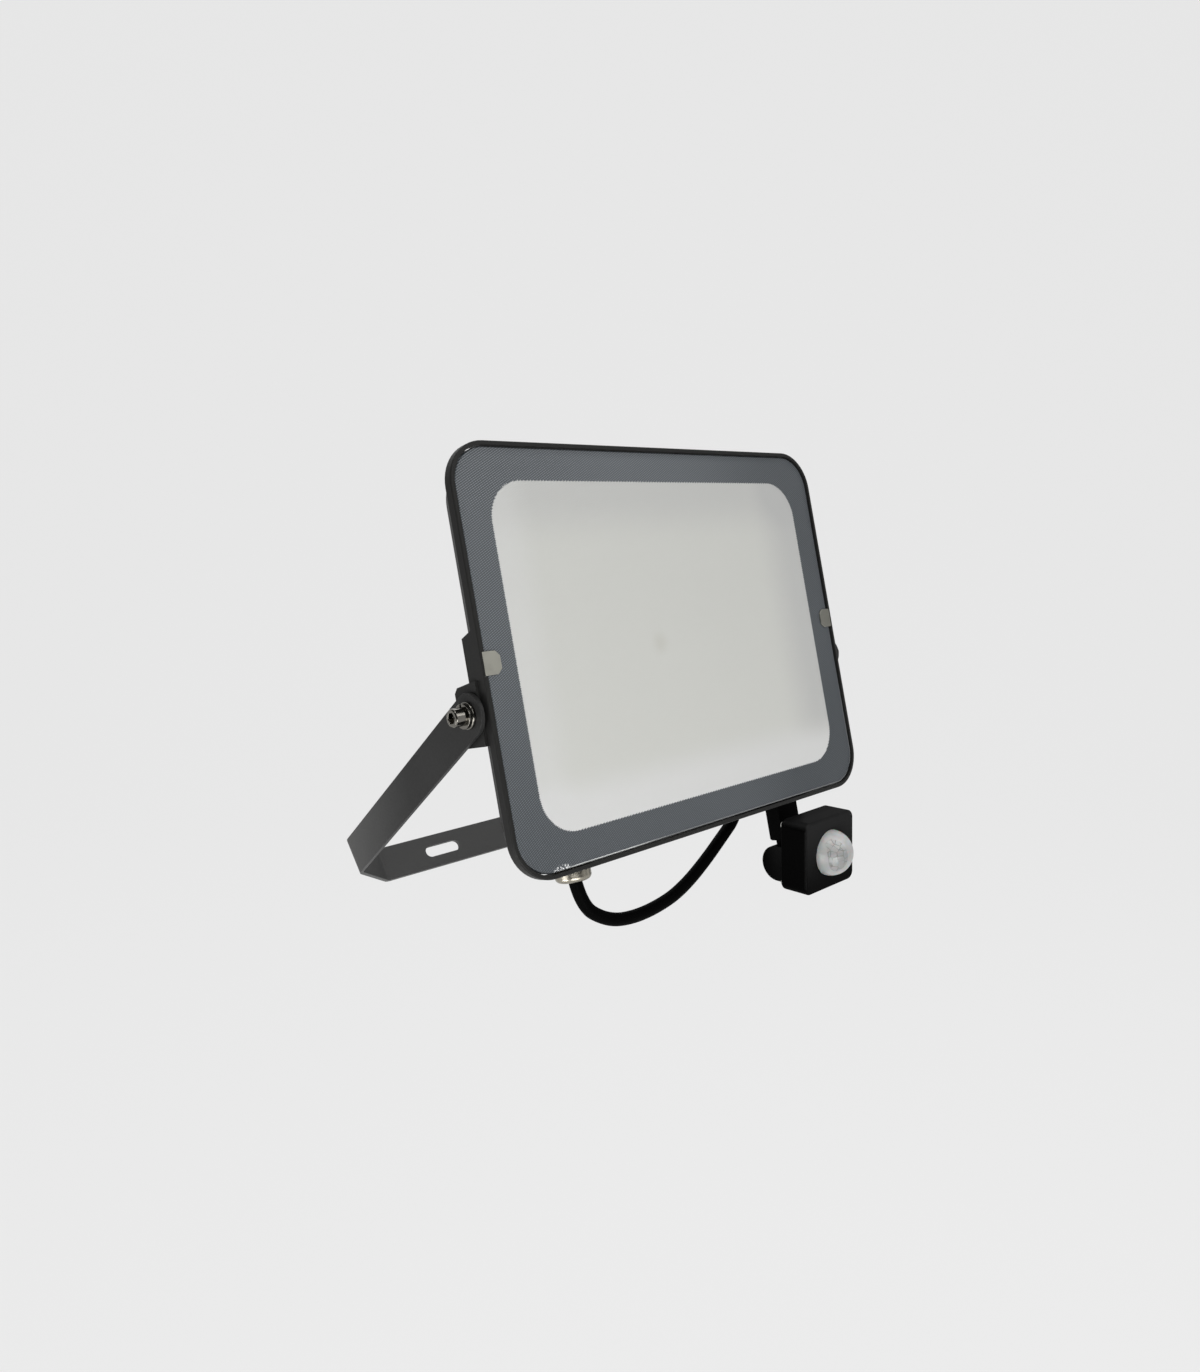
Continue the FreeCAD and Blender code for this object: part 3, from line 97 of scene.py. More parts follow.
cordRoute = {
    "diameter": 0.007,
    "points": (
        (-0.0900, -0.1010, -0.0160), (-0.0900, -0.1240, -0.0160), (-0.0727, -0.1374, -0.0163),
        (-0.0520, -0.1409, -0.0171), (-0.0265, -0.1393, -0.0190), (-0.0080, -0.1343, -0.0205),
        (0.0120, -0.1259, -0.0225), (0.0320, -0.1163, -0.0250), (0.0465, -0.1104, -0.0280),
        (0.0610, -0.0990, -0.0335), (0.0790, -0.0990, -0.0335),
    ),
    "length": 0.2053,
}


def makeCord():
    curve = bpy.data.curves.new("rubberCord", "CURVE")
    curve.dimensions = "3D"
    curve.bevel_depth = 1.0  # times each point's radius
    curve.bevel_resolution = 8
    curve.resolution_u = 16
    curve.use_fill_caps = True
    spline = curve.splines.new("NURBS")
    spots = [lampMatrix @ Vector(p) for p in cordRoute["points"]]
    spline.points.add(len(spots) - 1)
    for point, spot in zip(spline.points, spots):
        point.co = (*spot, 1)
        point.radius = cordRoute["diameter"] / 2
    spline.order_u = 3
    spline.use_endpoint_u = True
    cord = bpy.data.objects.new("rubberCord", curve)
    bpy.context.collection.objects.link(cord)
    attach(cord, "lamp")
    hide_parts("lamp_cord")
    return cord


cord = makeCord()
print("camera and cord made")


# Shader maths

class Wire:
    # a node's output that takes part in sums

    def __init__(self, paint, socket):
        self.paint = paint
        self.socket = socket

    def __add__(self, other):
        return self.paint.sum("ADD", self, other)

    def __sub__(self, other):
        return self.paint.sum("SUBTRACT", self, other)

    def __rsub__(self, other):
        return self.paint.sum("SUBTRACT", other, self)

    def __mul__(self, other):
        return self.paint.sum("MULTIPLY", self, other)

    __radd__ = __add__
    __rmul__ = __mul__

    def atLeast(self, other):
        return self.paint.sum("MAXIMUM", self, other)

    def atMost(self, other):
        return self.paint.sum("MINIMUM", self, other)

    def size(self):
        return self.paint.sum("ABSOLUTE", self)

    def root(self):
        return self.paint.sum("SQRT", self)

    def wave(self):
        return self.paint.sum("SINE", self)

    def step(self, low, high):
        # 0 below low and 1 above high, smooth between
        return self.paint.node("ShaderNodeMapRange", {"interpolation_type": "SMOOTHSTEP"},
                               {"Value": self, "From Min": low, "From Max": high})


class Paint:
    # one material while its nodes are made

    def __init__(self, name):
        self.material = bpy.data.materials.new(name)
        self.material.use_nodes = True
        self.tree = self.material.node_tree
        self.tree.nodes.clear()
        self.place = Wire(self, self.tree.nodes.new("ShaderNodeTexCoord").outputs["Object"])

    def node(self, kind, settings, inputs, output=0):
        made = self.tree.nodes.new(kind)
        for key, value in settings.items():
            setattr(made, key, value)
        for key, value in inputs.items():
            if isinstance(value, Wire):
                self.tree.links.new(value.socket, made.inputs[key])
            else:
                made.inputs[key].default_value = value
        return Wire(self, made.outputs[output]) if len(made.outputs) else None

    def sum(self, operation, *values):
        return self.node("ShaderNodeMath", {"operation": operation}, dict(enumerate(values)))

    def mix(self, amount, first, second):
        # colours blend through Mix
        rgba = [v if isinstance(v, Wire) else (*v, 1) for v in (first, second)]
        return self.node("ShaderNodeMix", {"data_type": "RGBA"}, {0: amount, 6: rgba[0], 7: rgba[1]}, 2)

    def noise(self, scale, detail=3, place=None):
        return self.node("ShaderNodeTexNoise", {},
                         {"Vector": place or self.place, "Scale": scale, "Detail": detail})

    def shade(self, amount, colour, factor):
        # the colour, in places darker or paler by a factor
        return self.mix(amount, colour, tuple(min(1, c * factor) for c in colour))

    def local(self, stand):
        # x, y, z in the lamp's or the head's own axes
        turn = Euler((math.radians(90 - stand["lean"]), 0, 0))
        turned = self.node("ShaderNodeMapping", {"vector_type": "TEXTURE"},
                           {"Vector": self.place, "Location": stand["centre"], "Rotation": turn})
        return [self.node("ShaderNodeSeparateXYZ", {}, {0: turned}, i) for i in range(3)] + [turned]

    def bump(self, height, distance, strength):
        return self.node("ShaderNodeBump", {},
                         {"Height": height, "Distance": distance, "Strength": strength})

    def close(self, **inputs):
        names = {"color": "Base Color", "roughness": "Roughness", "metallic": "Metallic",
                 "coat": "Coat Weight", "coatRoughness": "Coat Roughness", "normal": "Normal",
                 "specular": "Specular IOR Level", "subsurface": "Subsurface Weight",
                 "scatter": "Subsurface Scale"}
        values = {}
        for key, value in inputs.items():
            if key == "color" and not isinstance(value, Wire):
                value = (*value, 1)
            values[names[key]] = value
        shader = self.node("ShaderNodeBsdfPrincipled", {}, values)
        self.node("ShaderNodeOutputMaterial", {}, {"Surface": shader})
        return self.material


# Finishes

coatLook = {
    "housing": (0.0165, 0.0165, 0.016), "strip": (0.024, 0.024, 0.0238),
    # how much a coat is painted paler towards the wall, and over what range: painted light
    "dusty": 3.6, "paintedLightFrom": -0.095, "paintedLightTo": 0.0,
    "cloud": 28, "cloudShade": 0.86, "speckLight": 1.7,
    "grain": 900, "peel": 0.00004, "roughness": 0.44, "specular": 0.12,
}


def powderCoat(name, colour, dusty=1.0):
    # painted light: with a factor above 1, the coat's colour is painted paler towards the wall
    paint = Paint(name)
    cloud = paint.noise(coatLook["cloud"], 4)
    grain = paint.noise(coatLook["grain"], 2)
    speck = paint.noise(coatLook["grain"] * 2.6, 1).step(0.6, 0.75)
    tone = paint.shade(cloud.step(0.3, 0.7) * 0.5, colour, coatLook["cloudShade"])
    speckTone = tuple(c * coatLook["speckLight"] for c in colour)
    tone = paint.mix(speck * 0.25, tone, speckTone)
    depth = paint.node("ShaderNodeSeparateXYZ", {}, {0: paint.place}, 1)
    paintedLightMask = depth.step(coatLook["paintedLightFrom"], coatLook["paintedLightTo"])
    tone = paint.mix(paintedLightMask, tone, tuple(c * dusty for c in colour))
    rough = coatLook["roughness"] + (grain - 0.5) * 0.22 + (cloud - 0.5) * 0.12
    return paint.close(color=tone, roughness=rough, specular=coatLook["specular"],
                       normal=paint.bump(grain, coatLook["peel"], 0.7))


paneLook = {
    # the window, and half the glass with its corner
    "width": 0.2304, "height": 0.1713, "corner": 0.0206, "glass": (0.1328, 0.10205, 0.0193),
    # borderShade, the border's darker tone, is painted shade
    "border": (0.074, 0.081, 0.088), "borderShade": (0.033, 0.038, 0.043), "dashLight": 2.5,
    # the window's paler and darker tones are painted light and shade of the tray's walls seen through
    # the glass
    "window": (0.497, 0.501, 0.474), "windowPaintedLight": (0.550, 0.552, 0.544),
    "windowPaintedShade": (0.405, 0.407, 0.400), "windowDash": (0.75, 0.75, 0.74),
    "weavePitch": 0.00112, "weaveDepth": 0.00003, "serration": 0.0004,
    # what shows through: the board, across and high, and its middle screw
    "board": (0.178, 0.109), "screwSeen": (-0.0185, -0.0012), "screwBlur": 0.0085,
    "screwTone": (0.45, 0.45, 0.415),
    # the bevel's bright line is a painted highlight
    "bevelHighlight": (0.78, 0.80, 0.79), "fleckSpot": (-0.109, -0.1008), "fleck": (0.75, 0.76, 0.76),
    "cutEdge": (0.25, 0.29, 0.28), "rough": 0.4, "coat": 0.10, "coatRough": 0.22, "specular": 0.38,
}
paneZones = {
    # where each effect begins and ends, from the pane's middle
    "leftward": (0.02, 0.12), "downward": (0.0, 0.09), "rightward": (0.02, 0.11),
    "diagonal": (-0.04, 0.14), "rimShadowHeight": (0.03, 0.09),
    "bevelDown": (0.094, 0.0985), "bevelStart": (-0.108, -0.1), "bevelFade": (-0.066, -0.035),
    "cornerRight": (0.1285, 0.1305), "cornerDown": (0.03, 0.06), "cutDepth": (-0.0028, -0.0022),
    # the same from the glass's edge, and printEdge from the window's
    "rimShadowWidth": (-0.0052, -0.0002), "bevelWidth": (-0.0010, -0.0007), "printEdge": (-0.00012, 0.00012),
    # the same from each edge of the board
    "boardLeft": (-0.002, 0.020), "boardRight": (-0.017, 0.019), "boardTop": (-0.004, 0.024),
    "boardBottom": (0.001, 0.022),
}


def roundedEdge(x, y, halfWidth, halfHeight, corner):
    # distance outside a rectangle with round corners
    across = (x.size() - (halfWidth - corner)).atLeast(0)
    along = (y.size() - (halfHeight - corner)).atLeast(0)
    return (across * across + along * along).root() - corner


def paneWeave(x, y):
    # a fine slanted weave, broken up by a second one
    ripple = 2 * math.pi / paneLook["weavePitch"]
    threads = ((y - x * 0.55) * ripple).wave()
    return threads * (0.65 + 0.35 * ((x + y * 0.45) * ripple * 0.7).wave())


def zone(value, name, start=0):
    low, high = paneZones[name]
    return value.step(start + low, start + high)


def borderTone(paint, x, y, rim, dashes, spot):
    # painted shade: palest in the middle of the upper side, painted darker towards the left, the bottom
    # and the right, with a painted shadow in a strip under the top rim
    cloud = paint.noise(9, 2, spot)
    leftward, downward = zone(0 - x, "leftward"), zone(0 - y, "downward")
    shade = ((leftward * 0.68).atLeast(downward * 0.58) + leftward * downward * 0.13
             + zone(x, "rightward") * 0.65).atMost(1)
    border = paint.mix(shade, paneLook["border"], paneLook["borderShade"])
    border = paint.mix(cloud.step(0.4, 0.7) * 0.15, border, paneLook["border"])
    # painted shadow: darker along the glass's edge under the top rim
    rimShadowBand = zone(rim, "rimShadowWidth") * zone(y, "rimShadowHeight")
    border = paint.mix(rimShadowBand * 0.75, border, paneLook["borderShade"])
    dashTone = tuple(c * paneLook["dashLight"] for c in paneLook["border"])
    return paint.mix(dashes * (0.4 + 0.5 * zone(y - x, "diagonal")), border, dashTone)


def windowTone(paint, x, y, dashes):
    # painted light and shade: what shows round the board through the glass is painted paler on the left
    # and below and darker on the right and above, as the tray's walls are lit and shaded; the board
    # keeps the middle tone
    wide, high = (side / 2 for side in paneLook["board"])
    left, right = zone(0 - x, "boardLeft", wide), zone(x, "boardRight", wide)
    top, bottom = zone(y, "boardTop", high), zone(0 - y, "boardBottom", high)
    light = (left * 0.5 + bottom).atMost(1)
    dark = (right * 0.8 + top * 0.6).atMost(1)
    window = paint.mix(light, paneLook["window"], paneLook["windowPaintedLight"])
    window = paint.mix(dark * (1 - light), window, paneLook["windowPaintedShade"])
    aside, above = x - paneLook["screwSeen"][0], y - paneLook["screwSeen"][1]
    screw = 1 - (aside * aside + above * above).root().step(0.0, paneLook["screwBlur"])
    window = paint.mix(screw * 0.95, window, paneLook["screwTone"])
    return paint.mix(dashes * 0.05, window, paneLook["windowDash"])


def printedPane():
    # frosted window with a slate border; the weave runs over both
    paint = Paint("printedPane")
    x, y, z, spot = paint.local(lampStand)
    weave = paneWeave(x, y)
    edge = roundedEdge(x, y, paneLook["width"] / 2, paneLook["height"] / 2, paneLook["corner"])
    rim = roundedEdge(x, y, *paneLook["glass"])
    outside = zone(edge + weave * paneLook["serration"], "printEdge")
    dashes = weave.step(-0.2, 0.9)
    tone = paint.mix(outside, windowTone(paint, x, y, dashes),
                     borderTone(paint, x, y, rim, dashes, spot))
    # painted highlight: a bright line is painted along the bevel at the bottom and at the lower right
    # corner
    bottom = zone(0 - y, "bevelDown") * zone(x, "bevelStart") * (1 - zone(x, "bevelFade") * 0.72)
    corner = zone(x, "cornerRight") * zone(0 - y, "cornerDown") * 0.4
    bevel = zone(rim, "bevelWidth") * (bottom + corner)
    tone = paint.mix(bevel * 0.8, tone, paneLook["bevelHighlight"])
    across, along = x - paneLook["fleckSpot"][0], y - paneLook["fleckSpot"][1]
    near = 1 - (across * across * 0.10 + along * along * 1.3).root().step(0.0012, 0.0022)
    fleck = paint.noise(1500, 1, spot).step(0.54, 0.62) * near * outside
    tone = paint.mix(fleck, tone, paneLook["fleck"])
    tone = paint.mix(zone(z, "cutDepth"), paneLook["cutEdge"], tone)
    rough = paneLook["rough"] + paint.noise(16, 3, spot) * 0.14 - outside * 0.04 - bevel * 0.2
    return paint.close(color=tone, roughness=rough, coat=paneLook["coat"] * outside,
                       coatRoughness=paneLook["coatRough"], specular=paneLook["specular"],
                       normal=paint.bump(weave, paneLook["weaveDepth"], 0.6))


metalLook = {
    "stainless": {"colour": (0.18, 0.172, 0.155), "rough": 0.10, "lines": 700},
    "zincPlate": {"colour": (0.52, 0.52, 0.49), "rough": 0.32, "lines": 500},
    "nickelPlate": {"colour": (0.32, 0.30, 0.25), "rough": 0.26, "lines": 420},
    "springClip": {"colour": (0.38, 0.375, 0.33), "rough": 0.34, "lines": 900},
}
brushStretch = (0.08, 1, 1)


def brightMetal(name):
    look = metalLook[name]
    paint = Paint(name)
    stretched = paint.node("ShaderNodeVectorMath", {"operation": "MULTIPLY"},
                           {0: paint.place, 1: brushStretch})
    lines = paint.noise(look["lines"], 3, stretched)
    stain = paint.noise(160, 3).step(0.35, 0.75)
    tone = paint.shade(stain * 0.4, look["colour"], 0.72)
    rough = look["rough"] + (lines - 0.5) * 0.2 + stain * 0.06
    return paint.close(color=tone, metallic=1.0, roughness=rough,
                       normal=paint.bump(lines, 0.00001, 0.35))


mouldLook = {
    # low and side are painted shade: darker copies of the front colour for the foot and the sides
    "front": (0.0150, 0.0150, 0.0151), "low": (0.0016, 0.0016, 0.0016),
    "side": (0.0010, 0.0010, 0.0010), "stem": (0.0012, 0.0012, 0.0012),
    "trimmer": (0.06, 0.06, 0.06), "block": (0.62, 0.60, 0.54),
    "grain": 1500, "flow": 35, "grainDepth": 0.00003, "headRough": 0.42, "headCoat": 0.07,
    # where painted shade turns the head blacker: out to its sides, back to its rear and down to its
    # foot
    "sideShadeZone": (0.0222, 0.0243), "rearZone": (-0.012, 0.004), "footShadeZone": (-0.010, 0.030),
}


def mouldGrain(paint):
    # what moulded plastics share: spread of roughness, relief and flow marks
    grain = paint.noise(mouldLook["grain"], 2)
    flow = paint.noise(mouldLook["flow"], 3)
    spread = (grain - 0.5) * 0.16 + (flow - 0.5) * 0.1
    return spread, paint.bump(grain, mouldLook["grainDepth"], 0.5), flow


def mouldedPlastic(name, colour, rough=0.46, specular=0.28):
    paint = Paint(name)
    spread, relief, flow = mouldGrain(paint)
    tone = paint.shade(flow.step(0.35, 0.7) * 0.5, colour, 1.3)
    return paint.close(color=tone, roughness=rough + spread, specular=specular, normal=relief)


def headPlastic():
    # satin on the front and top; towards the foot, on the sides and at the rear the colour is painted
    # blacker, painted shade, with less coat on the sides
    paint = Paint("headPlastic")
    x, y, z = paint.local(headStand)[:3]
    spread, relief, flow = mouldGrain(paint)
    side = x.size().step(*mouldLook["sideShadeZone"]).atLeast(1 - z.step(*mouldLook["rearZone"]))
    tone = paint.mix(y.step(*mouldLook["footShadeZone"]), mouldLook["low"], mouldLook["front"])
    tone = paint.mix(side, tone, mouldLook["side"])
    return paint.close(color=tone, roughness=mouldLook["headRough"] + spread, specular=0.0,
                       coat=mouldLook["headCoat"] - side * 0.04, coatRoughness=0.3, normal=relief)


rubberLook = {
    "jacket": (0.0007, 0.0007, 0.0007), "bloom": (0.002, 0.002, 0.0021), "jacketRough": 0.5,
    "seal": (0.012, 0.012, 0.012), "gasket": (0.05, 0.05, 0.05), "rough": 0.72,
}


def rubberJacket():
    paint = Paint("rubberJacket")
    grain = paint.noise(1200, 2)
    bloom = paint.noise(60, 4)
    tone = paint.mix(bloom.step(0.5, 0.8) * 0.5, rubberLook["jacket"], rubberLook["bloom"])
    return paint.close(color=tone, roughness=rubberLook["jacketRough"] + bloom * 0.18, specular=0.02,
                       normal=paint.bump(grain, 0.00002, 0.4))


def softRubber(name, colour):
    paint = Paint(name)
    grain = paint.noise(700, 3)
    tone = paint.shade(grain.step(0.4, 0.7) * 0.4, colour, 1.6)
    return paint.close(color=tone, roughness=rubberLook["rough"] + (grain - 0.5) * 0.2, specular=0.25,
                       normal=paint.bump(grain, 0.00004, 0.5))


headDome = {
    # the cap's form, which its finish reads too
    "middle": 0.0113, "radius": 0.0138, "height": 0.0136, "front": 0.0318, "wall": 0.0008,
    "flange": 0.015, "flangeThick": 0.0012, "sunk": 0.0018,
}
lensLook = {
    "colour": (0.245, 0.25, 0.245), "rib": (0.11, 0.115, 0.11), "milk": (0.60, 0.605, 0.60),
    # the lens cells show left of the cap's top, in a narrow field
    "facet": 300, "facetField": 0.0094, "fieldShift": (-0.0067, 0.0013), "fieldSquash": 1.8,
    "ringPitch": 0.0011, "relief": 0.00012, "rough": 0.34, "coat": 0.2, "coatRough": 0.16,
}


def fresnelLens():
    # a milky cap over flat-sided lens cells
    paint = Paint("fresnelLens")
    x, y, _, spot = paint.local(headStand)
    up = y - headDome["middle"]
    aside = (x - lensLook["fieldShift"][0]) * lensLook["fieldSquash"]
    above = up - lensLook["fieldShift"][1]
    far = (aside * aside + above * above).root()
    field = 1 - far.step(lensLook["facetField"] - 0.0006, lensLook["facetField"] + 0.0004)
    ribs = paint.node("ShaderNodeTexVoronoi", {"feature": "DISTANCE_TO_EDGE"},
                      {"Vector": spot, "Scale": lensLook["facet"], "Randomness": 0.6})
    rib = (1 - ribs.step(0.02, 0.10)) * paint.noise(170, 2, spot).step(0.25, 0.5)
    rings = (far * (2 * math.pi / lensLook["ringPitch"])).wave()
    cloud = paint.noise(140, 3, spot).step(0.35, 0.7)
    # the ring round the lens field is milkier; the cap's top is painted paler, painted light from above
    pale = (1 - field) * 0.20 + up.step(0.002, 0.0125) * 0.55
    tone = paint.mix((cloud * 0.12 + pale).atMost(1), lensLook["colour"], lensLook["milk"])
    tone = paint.mix(rib * field * 0.75, tone, lensLook["rib"])
    relief = rings * field * 0.12 + rib * field * 0.5
    return paint.close(color=tone, roughness=lensLook["rough"] + cloud * 0.08, specular=0.5,
                       coat=lensLook["coat"], coatRoughness=lensLook["coatRough"],
                       subsurface=0.25, scatter=0.002,
                       normal=paint.bump(relief, lensLook["relief"], 0.6))


insideLook = {
    "tracks": ((0.02, 0.10, 0.035, 1), (0.028, 0.14, 0.05, 1), (0.010, 0.06, 0.022, 1)),
    "trackScale": 160.0, "white": (0.78, 0.78, 0.75), "whiteShade": (0.66, 0.66, 0.63),
    "phosphor": (0.80, 0.56, 0.10), "phosphorShade": (0.72, 0.48, 0.07),
}


def circuitBoard():
    paint = Paint("circuitBoard")
    first, second, gap = insideLook["tracks"]
    tracks = paint.node("ShaderNodeTexBrick", {},
                        {"Vector": paint.place, "Scale": insideLook["trackScale"],
                         "Color1": first, "Color2": second, "Mortar": gap})
    return paint.close(color=tracks, roughness=0.4 + paint.noise(200) * 0.1, coat=0.3)


def whiteBoard():
    paint = Paint("whiteBoard")
    cloud = paint.noise(120, 3)
    tone = paint.mix(cloud.step(0.4, 0.7) * 0.3, insideLook["white"], insideLook["whiteShade"])
    return paint.close(color=tone, roughness=0.45 + (cloud - 0.5) * 0.1)


def phosphor():
    paint = Paint("phosphor")
    cloud = paint.noise(900, 2)
    tone = paint.mix(cloud.step(0.35, 0.7), insideLook["phosphor"], insideLook["phosphorShade"])
    return paint.close(color=tone, roughness=0.35 + cloud * 0.1, coat=0.5)


finishes = {
    "housingCoat": powderCoat("housingCoat", coatLook["housing"]),
    "stripCoat": powderCoat("stripCoat", coatLook["strip"], coatLook["dusty"]),
    "printedPane": printedPane(),
    "stainless": brightMetal("stainless"),
    "zincPlate": brightMetal("zincPlate"),
    "nickelPlate": brightMetal("nickelPlate"),
    "springClip": brightMetal("springClip"),
    "headPlastic": headPlastic(),
    "stemPlastic": mouldedPlastic("stemPlastic", mouldLook["stem"], 0.42, 0.02),
    "trimmerPlastic": mouldedPlastic("trimmerPlastic", mouldLook["trimmer"]),
    "blockPlastic": mouldedPlastic("blockPlastic", mouldLook["block"], 0.4, 0.5),
    "rubberJacket": rubberJacket(),
    "sealRubber": softRubber("sealRubber", rubberLook["seal"]),
    "gasketRubber": softRubber("gasketRubber", rubberLook["gasket"]),
    "fresnelLens": fresnelLens(),
    "circuitBoard": circuitBoard(),
    "whiteBoard": whiteBoard(),
    "phosphor": phosphor(),
}
cord.data.materials.append(finishes["rubberJacket"])
print("finishes made")


# Dressed copies of the CAD nodes: merged, with softened edges and smooth round faces

dressing = {
    # node: finish, edge width in mm, slot
    "bracket": ("stripCoat", 0.35, "bracket_paint"),
    "housing": ("housingCoat", 0.30, "housing_coat"),
    "glass_panel": ("printedPane", 0.12, "glass"),
    "clip_left": ("springClip", 0.15, "steel"),
    "clip_right": ("springClip", 0.15, "steel"),
    "pivot_bolts": ("stainless", 0.25, "steel"),
    "flat_washers": ("stainless", 0.15, "steel"),
    "spring_washers": ("stainless", 0.15, "steel"),
    "gland_body": ("nickelPlate", 0.30, "nickel"),
    "gland_nut": ("nickelPlate", 0.45, "nickel"),
    "sensor_arm": ("stemPlastic", 0.50, "black_plastic"),
    "junction_cover": ("stemPlastic", 0.30, "black_plastic"),
    "sensor_front_shell": ("headPlastic", 0.25, "black_plastic"),
    "sensor_rear_shell": ("headPlastic", 0.30, "black_plastic"),
    "cord_grommet": ("sealRubber", 0.20, "seal"),
    "knuckle_screw": ("zincPlate", 0.15, "zinc"),
    "sensitivity_trimmer": ("trimmerPlastic", 0.12, "trimmer"),
    "time_trimmer": ("trimmerPlastic", 0.12, "trimmer"),
    "light_trimmer": ("trimmerPlastic", 0.12, "trimmer"),
}
repainted = {
    "glass_gasket": "gasketRubber", "reflector_tray": "whiteBoard", "led_board": "whiteBoard",
    "driver_components": "trimmerPlastic", "gland_seal": "sealRubber", "terminal_block": "blockPlastic",
    "sensor_board": "circuitBoard", "infrared_element": "zincPlate",
    "sensor_components": "trimmerPlastic", "trimmer_pots": "trimmerPlastic", "knuckle_nut": "zincPlate",
}
bodies = frame["record"]["behaviour"]["bodies"]
bodyOf = {node: body for body, held in bodies.items() for node in held}
meshCare = {"weld": 1e-6, "flatDegrees": 0.4, "sharpDegrees": 32, "bevelSegments": 2}


def pieceFrom(name, mesh, body, finish, nodes):
    piece = bpy.data.objects.new(name, mesh)
    bpy.context.collection.objects.link(piece)
    mesh.materials.clear()
    mesh.materials.append(finishes[finish])
    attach(piece, body)
    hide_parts(*nodes)
    return piece


def softenEdges(piece, width):
    bevel = piece.modifiers.new("softEdges", "BEVEL")
    bevel.width = width
    bevel.segments = meshCare["bevelSegments"]
    bevel.limit_method = "ANGLE"
    bevel.angle_limit = math.radians(meshCare["sharpDegrees"])
    bevel.harden_normals = False
    bevel.use_clamp_overlap = True
    smooth = piece.modifiers.new("flatFaces", "WEIGHTED_NORMAL")
    smooth.keep_sharp = True


def smoothByAngle(mesh, degrees=meshCare["sharpDegrees"]):
    work = bmesh.new()
    work.from_mesh(mesh)
    for face in work.faces:
        face.smooth = True
    for edge in work.edges:
        sharp = len(edge.link_faces) != 2 or edge.calc_face_angle(0) > math.radians(degrees)
        edge.smooth = not sharp
    work.to_mesh(mesh)
    work.free()


def dressNode(node, finish, width):
    source = frame["nodes"][node]
    work = bmesh.new()
    work.from_mesh(source.data)
    bmesh.ops.remove_doubles(work, verts=work.verts, dist=meshCare["weld"])
    bmesh.ops.dissolve_limit(work, angle_limit=math.radians(meshCare["flatDegrees"]),
                             verts=work.verts, edges=work.edges)
    mesh = bpy.data.meshes.new(node + "Dressed")
    work.to_mesh(mesh)
    work.free()
    words = node.split("_")
    name = words[0] + "".join(word.capitalize() for word in words[1:])
    piece = pieceFrom(name, mesh, bodyOf[node], finish, [node])
    smoothByAngle(mesh)
    softenEdges(piece, width * mm)


for node, (finish, width, slot) in dressing.items():
    dressNode(node, finish, width)
for node, finish in repainted.items():
    held = frame["nodes"][node].data.materials
    held.clear()
    held.append(finishes[finish])
print("CAD nodes dressed")


# Geometry Nodes: one tree sets a small piece at every point of a list of places

class Tree:
    # one node tree while it is made

    def __init__(self, name, inputs):
        self.tree = bpy.data.node_groups.new(name, "GeometryNodeTree")
        self.slots = {}
        sockets = self.tree.interface
        for label, kind in inputs.items():
            slot = sockets.new_socket(label, in_out="INPUT", socket_type=kind)
            self.slots[label] = slot.identifier
        sockets.new_socket("Geometry", in_out="OUTPUT", socket_type="NodeSocketGeometry")
        self.given = self.tree.nodes.new("NodeGroupInput").outputs

    def node(self, kind, settings, inputs, output=0):
        made = self.tree.nodes.new(kind)
        for key, value in settings.items():
            setattr(made, key, value)
        for key, value in inputs.items():
            if isinstance(value, bpy.types.NodeSocket):
                self.tree.links.new(value, made.inputs[key])
            else:
                made.inputs[key].default_value = value
        return made.outputs[output] if len(made.outputs) else None


def scatterTree():
    tree = Tree("setPieces", {
        "Geometry": "NodeSocketGeometry", "Piece": "NodeSocketObject", "Turn": "NodeSocketRotation",
        "Size": "NodeSocketFloat", "Turn spread": "NodeSocketFloat", "Seed": "NodeSocketInt",
        "Finish": "NodeSocketMaterial"})
    given = tree.given
    points = tree.node("GeometryNodeMeshToPoints", {}, {0: given["Geometry"]})
    small = tree.node("GeometryNodeObjectInfo", {}, {"Object": given["Piece"]}, "Geometry")
    spread = tree.node("ShaderNodeMath", {"operation": "MULTIPLY"}, {0: given["Turn spread"], 1: -1.0})
    angle = tree.node("FunctionNodeRandomValue", {"data_type": "FLOAT"},
                      {2: spread, 3: given["Turn spread"], "Seed": given["Seed"]}, 1)
    spin = tree.node("ShaderNodeCombineXYZ", {}, {2: angle})
    spinTurn = tree.node("FunctionNodeEulerToRotation", {}, {0: spin})
    turn = tree.node("FunctionNodeRotateRotation", {"rotation_space": "LOCAL"},
                     {0: given["Turn"], 1: spinTurn})
    placed = tree.node("GeometryNodeInstanceOnPoints", {},
                       {"Points": points, "Instance": small, "Rotation": turn, "Scale": given["Size"]})
    real = tree.node("GeometryNodeRealizeInstances", {}, {0: placed})
    painted = tree.node("GeometryNodeSetMaterial", {}, {"Geometry": real, "Material": given["Finish"]})
    tree.node("NodeGroupOutput", {}, {0: painted})
    return tree


setPieces = scatterTree()


def setAtPlaces(name, small, places, turn, body, finish, nodes, spread=0.0, seed=3):
    holder = bpy.data.objects.new(name + "Holder", bpy.data.meshes.new(name + "Places"))
    holder.data.from_pydata([tuple(p) for p in places], [], [])
    bpy.context.collection.objects.link(holder)
    maker = holder.modifiers.new("setPieces", "NODES")
    maker.node_group = setPieces.tree
    values = {"Piece": small, "Turn": turn, "Size": 1.0, "Turn spread": spread, "Seed": seed,
              "Finish": finishes[finish]}
    for label, value in values.items():
        maker[setPieces.slots[label]] = value
    evaluated = holder.evaluated_get(bpy.context.evaluated_depsgraph_get())
    mesh = bpy.data.meshes.new_from_object(evaluated)
    mesh.name = name
    bpy.data.objects.remove(holder)
    pieceFrom(name, mesh, body, finish, nodes)


